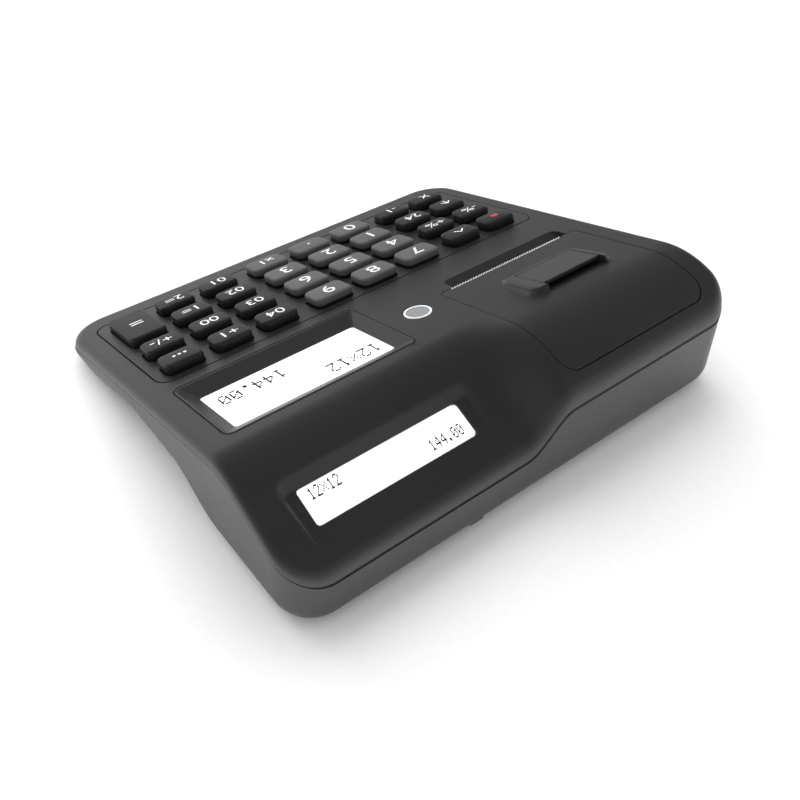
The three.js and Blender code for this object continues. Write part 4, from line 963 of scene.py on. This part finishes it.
def printerLid():
    c, s = caseShape, lever
    front = lid["front"] * math.cos(c["panelAngle"])
    bm = cornered(lid["left"], lid["right"], front, lid["rear"], -c["wall"], 0, lid["frontCorner"],
                  lid["rearCorner"], 10)
    roundOff(bm, edgesAt(bm, 0), lid["edge"], 2)
    behind = lid["rear"] - lid["rearCorner"] - 0.1
    rearEdge = [e for e in edgesAt(bm, -c["wall"]) if e.is_manifold and all(v.co.y > behind for v in e.verts)]
    roundOff(bm, rearEdge, lid["rearEdge"], 2)
    top = solidFrom(bm)
    left, right = s["left"] - s["gap"], s["right"] + s["gap"]
    panelCut(top, handleBlock(), "UNION")
    panelCut(top, roundedBlock(s["left"] - 2, s["right"] + 2, s["pivot"] - 2, handle["rear"] + 2,
                               -s["skirt"], -1.5), "UNION")
    panelCut(top, fingerHollow())
    panelCut(top, rod(s["barrel"] + s["socketGap"], left, right, s["pivot"], leverAxis))
    panelCut(top, roundedBlock(left, right, s["pivot"] - s["lip"], s["pivot"] + 0.2, leverAxis, 3))
    panelCut(top, tongueBlock(s["gap"], tongue["swing"], under, 0))
    panelCut(top, roundedBlock(bar["left"] - clearance, bar["right"] + clearance, 12,
                               lid["front"] + bar["thickness"] + clearance, under, over))
    bm = meshOf(top)
    sliceAcross(bm, "y", [y for y in crestStations if y < lid["rear"] - 0.5])
    raised(bm, topHeight)
    finishPiece("printerLid", bm, "cover", caseAbs, ["printer_cover"], 20)


printerLid()
print("printer lid made")

hinge = dict(y=74, z=43.5, pin=1.3, arm=2.5, eye=2.6)
roller = dict(radius=4.6, left=-80.5, right=-21, along=21.6, depth=8.2, shaft=1.5, wall=2, bracket=3.4)
roll = dict(width=59.7, wall=1.5)


def rollerPlace():
    angle = caseShape["panelAngle"]
    y = roller["along"] * math.cos(angle) + roller["depth"] * math.sin(angle)
    z = caseShape["panelHeight"] + roller["along"] * math.sin(angle) - roller["depth"] * math.cos(angle)
    return y, z


platenY, platenZ = rollerPlace()


# Brackets for the platen and arms with pins for the hinge, all under the lid
def lidFittings():
    bm = bmesh.new()
    gap = clearance
    middle = midway(bar)
    half = roll["width"] / 2 + roll["wall"] + gap
    for side in (-1, 1):
        inner = middle + side * half
        outer = inner + side * hinge["arm"]
        low, high = min(inner, outer), max(inner, outer)
        addTo(bm, rod(hinge["eye"], low, high, hinge["y"], hinge["z"], 48, 0.3))
        pinEnd = middle + side * (roll["width"] / 2 - gap)
        addTo(bm, rod(hinge["pin"], min(inner, pinEnd) - 0.2, max(inner, pinEnd) + 0.2, hinge["y"],
                      hinge["z"], 40, 0.25))
        web = roundedBlock(low, high, hinge["y"] - 2 * hinge["eye"], hinge["y"] + hinge["eye"], 0, 1)
        for v in web.verts:
            v.co.z = topHeight(v.co.x, v.co.y) - 1.5 if v.co.z > 0.5 else hinge["z"]
        addTo(bm, web)
    for left in (roller["left"] - gap - roller["wall"], roller["right"] + gap):
        right = left + roller["wall"]
        addTo(bm, rod(roller["bracket"], left, right, platenY, platenZ, 48, 0.3))
        web = roundedBlock(left, right, roller["along"] - roller["bracket"],
                           roller["along"] + roller["bracket"], -roller["depth"], -1.5)
        addTo(bm, moved(web, onPanel))
    finishPiece("lidFittings", bm, "cover", caseAbs)


def releaseLever():
    s = lever
    thickness = s["thickness"]
    bm = roundedBlock(s["left"], s["right"], s["pivot"], s["rear"], -thickness, 0)
    for v in bm.verts:
        v.co.z += handleTop(v.co.y)
    rear = [e for e in bm.edges if all(v.co.y > s["rear"] - 0.01 for v in e.verts)]
    roundOff(bm, rear, 0.4, 4)
    sides = [e for e in bm.edges if all(v.co.z > handleTop(v.co.y) - 0.45 for v in e.verts)
             and abs(e.verts[0].co.y - e.verts[1].co.y) > 5]
    roundOff(bm, sides, 0.3, 3)
    flap = solidFrom(bm)
    carve(flap, rod(s["barrel"], s["left"], s["right"], s["pivot"], leverAxis), "UNION")
    pins = rod(s["pin"], s["left"] - s["pinLength"], s["right"] + s["pinLength"], s["pivot"], leverAxis, 32)
    carve(flap, pins, "UNION")
    carve(flap, tongueBlock(0, 0, -tongue["depth"], handleTop(tongue["front"]) - 0.8), "UNION")
    bm = moved(meshOf(flap), onPanel)
    finishPiece("releaseLever", bm, "lever", caseAbs, ["release_lever"])


# A strip of sheet steel whose free edge is cut to fine teeth
def tearBar():
    b = bar
    bm = roundedBlock(b["left"], b["right"], lid["front"], lid["front"] + b["edge"], -b["height"], 0)
    places = evenly(b["left"], b["right"], b["tooth"] / 2)
    sliceAcross(bm, "x", places[1:-1])
    for v in bm.verts:
        count = round((v.co.x - b["left"]) / (places[1] - places[0]))
        if v.co.z > -0.1:
            v.co.z = b["rise"] - b["sink"] if count % 2 else -b["sink"]
    # the bar's near-white is painted reflection along its teeth
    finishPiece("tearBar", moved(bm, onPanel), "cover", paintedBrightZinc, ["tear_bar"], 20)


lidFittings()
releaseLever()
tearBar()
print("lever, fittings and tear bar made")


# Printer works, feet, sockets and seal

def standing(radius, low, high, edge, x=0, y=0):
    return moved(cylinder(radius, high - low, 64, edge, 4), Matrix.Translation((x, y, (low + high) / 2)))


def ringed(outer, inner, low, high, edge):
    bm = bmesh.new()
    middle = Matrix.Translation(((outer + inner) / 2, 0, (low + high) / 2))
    upright = Matrix.Rotation(math.pi / 2, 4, "X") @ Matrix.Diagonal((outer - inner, high - low, 1, 1))
    bmesh.ops.create_grid(bm, x_segments=1, y_segments=1, size=0.5, matrix=middle @ upright)
    bmesh.ops.bevel(bm, geom=bm.verts[:], offset=edge, offset_type="OFFSET", segments=4, profile=0.5,
                    affect="VERTICES", material=-1)
    bm.faces.ensure_lookup_table()
    face = bm.faces[0]
    rim = list(face.edges)
    bmesh.ops.delete(bm, geom=[face], context="FACES_ONLY")
    bmesh.ops.spin(bm, geom=rim + bm.verts[:], cent=(0, 0, 0), axis=(0, 0, 1), angle=2 * math.pi,
                   steps=96, use_merge=True)
    bmesh.ops.recalc_face_normals(bm, faces=bm.faces)
    return bm


# Pieces that keep their CAD shape: node, body, finish, slot, broken edge and the steps of that edge
works = {
    "platenGear": ("platen_gear", "platen", acetal, "white_plastic", 0.06, 1),
    "motorPinion": ("motor_pinion", "pinion", brass, "brass", 0.06, 1),
    "printerFrame": ("printer_frame", "case", frameAbs, "black_plastic", 0.2, 2),
    "thermalHead": ("thermal_head", "case", steel, "steel", 0.15, 2),
    "paperBucket": ("paper_bucket", "case", frameAbs, "black_plastic", 0.25, 2),
    "printerMotor": ("printer_motor", "case", steel, "steel", 0.4, 3),
    "power_socket_shell": ("power_socket", "case", frameAbs, "black_plastic", 0.2, 2),
    "data_socket_shell": ("data_socket", "case", frameAbs, "black_plastic", 0.2, 2),
}
shaftEnds = (2.6, 4.9)


def printerWorks():
    left, right = roller["left"], roller["right"]
    finishPiece("platenRoller", rod(roller["radius"], left, right, platenY, platenZ, 96, 0.4), "platen",
                platenRubber, ["platen_roller"])
    shaft = rod(roller["shaft"], left - shaftEnds[0], right + shaftEnds[1], platenY, platenZ, 48, 0.25)
    finishPiece("platenShaft", shaft, "platen", steel, ["platen_shaft"])
    for name, (node, body, material, slotName, edge, steps) in works.items():
        finishPiece(name, refined(node, edge, steps), body, material, [node])
    for name, (x, y) in feetPlaces.items():
        pad = standing(foot["radius"], 0, foot["height"], foot["edge"], x, y)
        finishPiece(name + "_pad", pad, "case", rubber, [name])


sealCup = dict(outer=5.5, inner=4.6, low=-3.6, high=0.05, edge=0.2)
sealFoil = dict(radius=4.5, low=-3.2, high=-0.3, edge=0.15)


def seal():
    spot = onPanel @ Matrix.Translation((sealShape["x"], sealShape["along"], 0))
    # the ring's near-white is painted reflection on the metal
    finishPiece("sealRing", moved(ringed(**sealCup), spot), "case", paintedBrightZinc, ["seal_cup"])
    finishPiece("sealDisc", moved(standing(**sealFoil), spot), "case", lead, ["seal_screw"])


printerWorks()
seal()
plainNodes = {"key_mat": rubber, "key_board": boardMask, "main_board": boardMask, "battery_pack": batteryFilm}
for nodeName, nodeFinish in plainNodes.items():
    coat(nodeName, nodeFinish)
print("printer works, feet and seal made")


# Studio

def studioFloor():
    bm = bmesh.new()
    bmesh.ops.create_grid(bm, x_segments=1, y_segments=1, size=3)
    mesh = meshFrom(bm, "studioFloor")
    material, tree, shader, place = newMaterial("white studio paper", "#f2f2f2", 0.9)
    fibre = addNode(tree, "ShaderNodeTexNoise", {"Scale": perMetre(3), "Detail": 3.0}, {"Vector": place})
    tints = {6: fromHex("#f0f0f0"), 7: fromHex("#f5f5f5")}
    shade = addNode(tree, "ShaderNodeMix", {"data_type": "RGBA", **tints}, {0: fibre.outputs[0]})
    wire(tree, shader, {"Base Color": shade.outputs[2]})
    mesh.materials.append(material)
    linked("studioFloor", mesh)


sky = dict(front=0.95, back=0.75, low=0.25, high=0.65, horizon=0.37, zenith=0.1)


# A white dome lights the scene, a little dimmer behind the register. Mirrored in the plastic it is a dim
# room, a little lighter near the horizon, and the camera sees it white.
def studioSky():
    world = bpy.data.worlds.new("studio sky")
    scene.world = world
    world.use_nodes = True
    tree = world.node_tree
    background = tree.nodes["Background"]
    place = addNode(tree, "ShaderNodeTexCoord")
    parts = addNode(tree, "ShaderNodeSeparateXYZ", None, {"Vector": place.outputs["Generated"]})
    background.inputs["Color"].default_value = (1, 1, 1, 1)
    level = addNode(tree, "ShaderNodeMapRange", {"From Min": sky["low"], "From Max": sky["high"],
                                                 "To Min": sky["horizon"], "To Max": sky["zenith"]},
                    {"Value": parts.outputs[2]})
    path = addNode(tree, "ShaderNodeLightPath")
    dome = addNode(tree, "ShaderNodeMapRange", {"From Min": -0.2, "From Max": 0.8,
                                                "To Min": sky["front"], "To Max": sky["back"]},
                   {"Value": parts.outputs[1]})
    strength = addNode(tree, "ShaderNodeMix", {"data_type": "FLOAT"},
                       {0: path.outputs["Is Glossy Ray"], 2: dome.outputs[0], 3: level.outputs[0]})
    seen = addNode(tree, "ShaderNodeMix", {"data_type": "FLOAT", 3: 1.0},
                   {0: path.outputs["Is Camera Ray"], 2: strength.outputs[0]})
    tree.links.new(seen.outputs[0], background.inputs["Strength"])


def aimed(name, data, spot, ahead):
    obj = linked(name, data)
    obj.location = spot
    obj.rotation_euler = ahead.to_track_quat("-Z", "Y").to_euler()
    return obj


# Both lamps face the register. The overhead softbox has a matte veil, so it lights the floor without a mirror
# image in the plastic.
lamps = {
    "overhead softbox": dict(spot=(-0.2, -1.2, 1.3), size=(2.0, 2.3), watts=30.0, mirrored=False),
    "front window": dict(spot=(0.25, -2, 0.7), size=(2.4, 1.0), watts=4.5, mirrored=True),
}


def studioLamps():
    for name, setting in lamps.items():
        lamp = bpy.data.lights.new(name, "AREA")
        lamp.shape = "RECTANGLE"
        lamp.size, lamp.size_y = setting["size"]
        lamp.energy = setting["watts"]
        spot = setting["spot"]
        aimed(name, lamp, spot, -Vector(spot)).visible_glossy = setting["mirrored"]


view = dict(spot=(0.16745, 0.22536, 0.24142), ahead=(-0.448, -0.575, -0.684), lens=39.55)


def studioCamera():
    camera = bpy.data.cameras.new("camera")
    camera.lens = view["lens"]
    camera.sensor_width = 36
    camera.clip_start = 0.01
    scene.camera = aimed("camera", camera, view["spot"], Vector(view["ahead"]))


studioFloor()
studioSky()
studioLamps()
studioCamera()
scene.view_settings.view_transform = "Standard"
print("studio made")
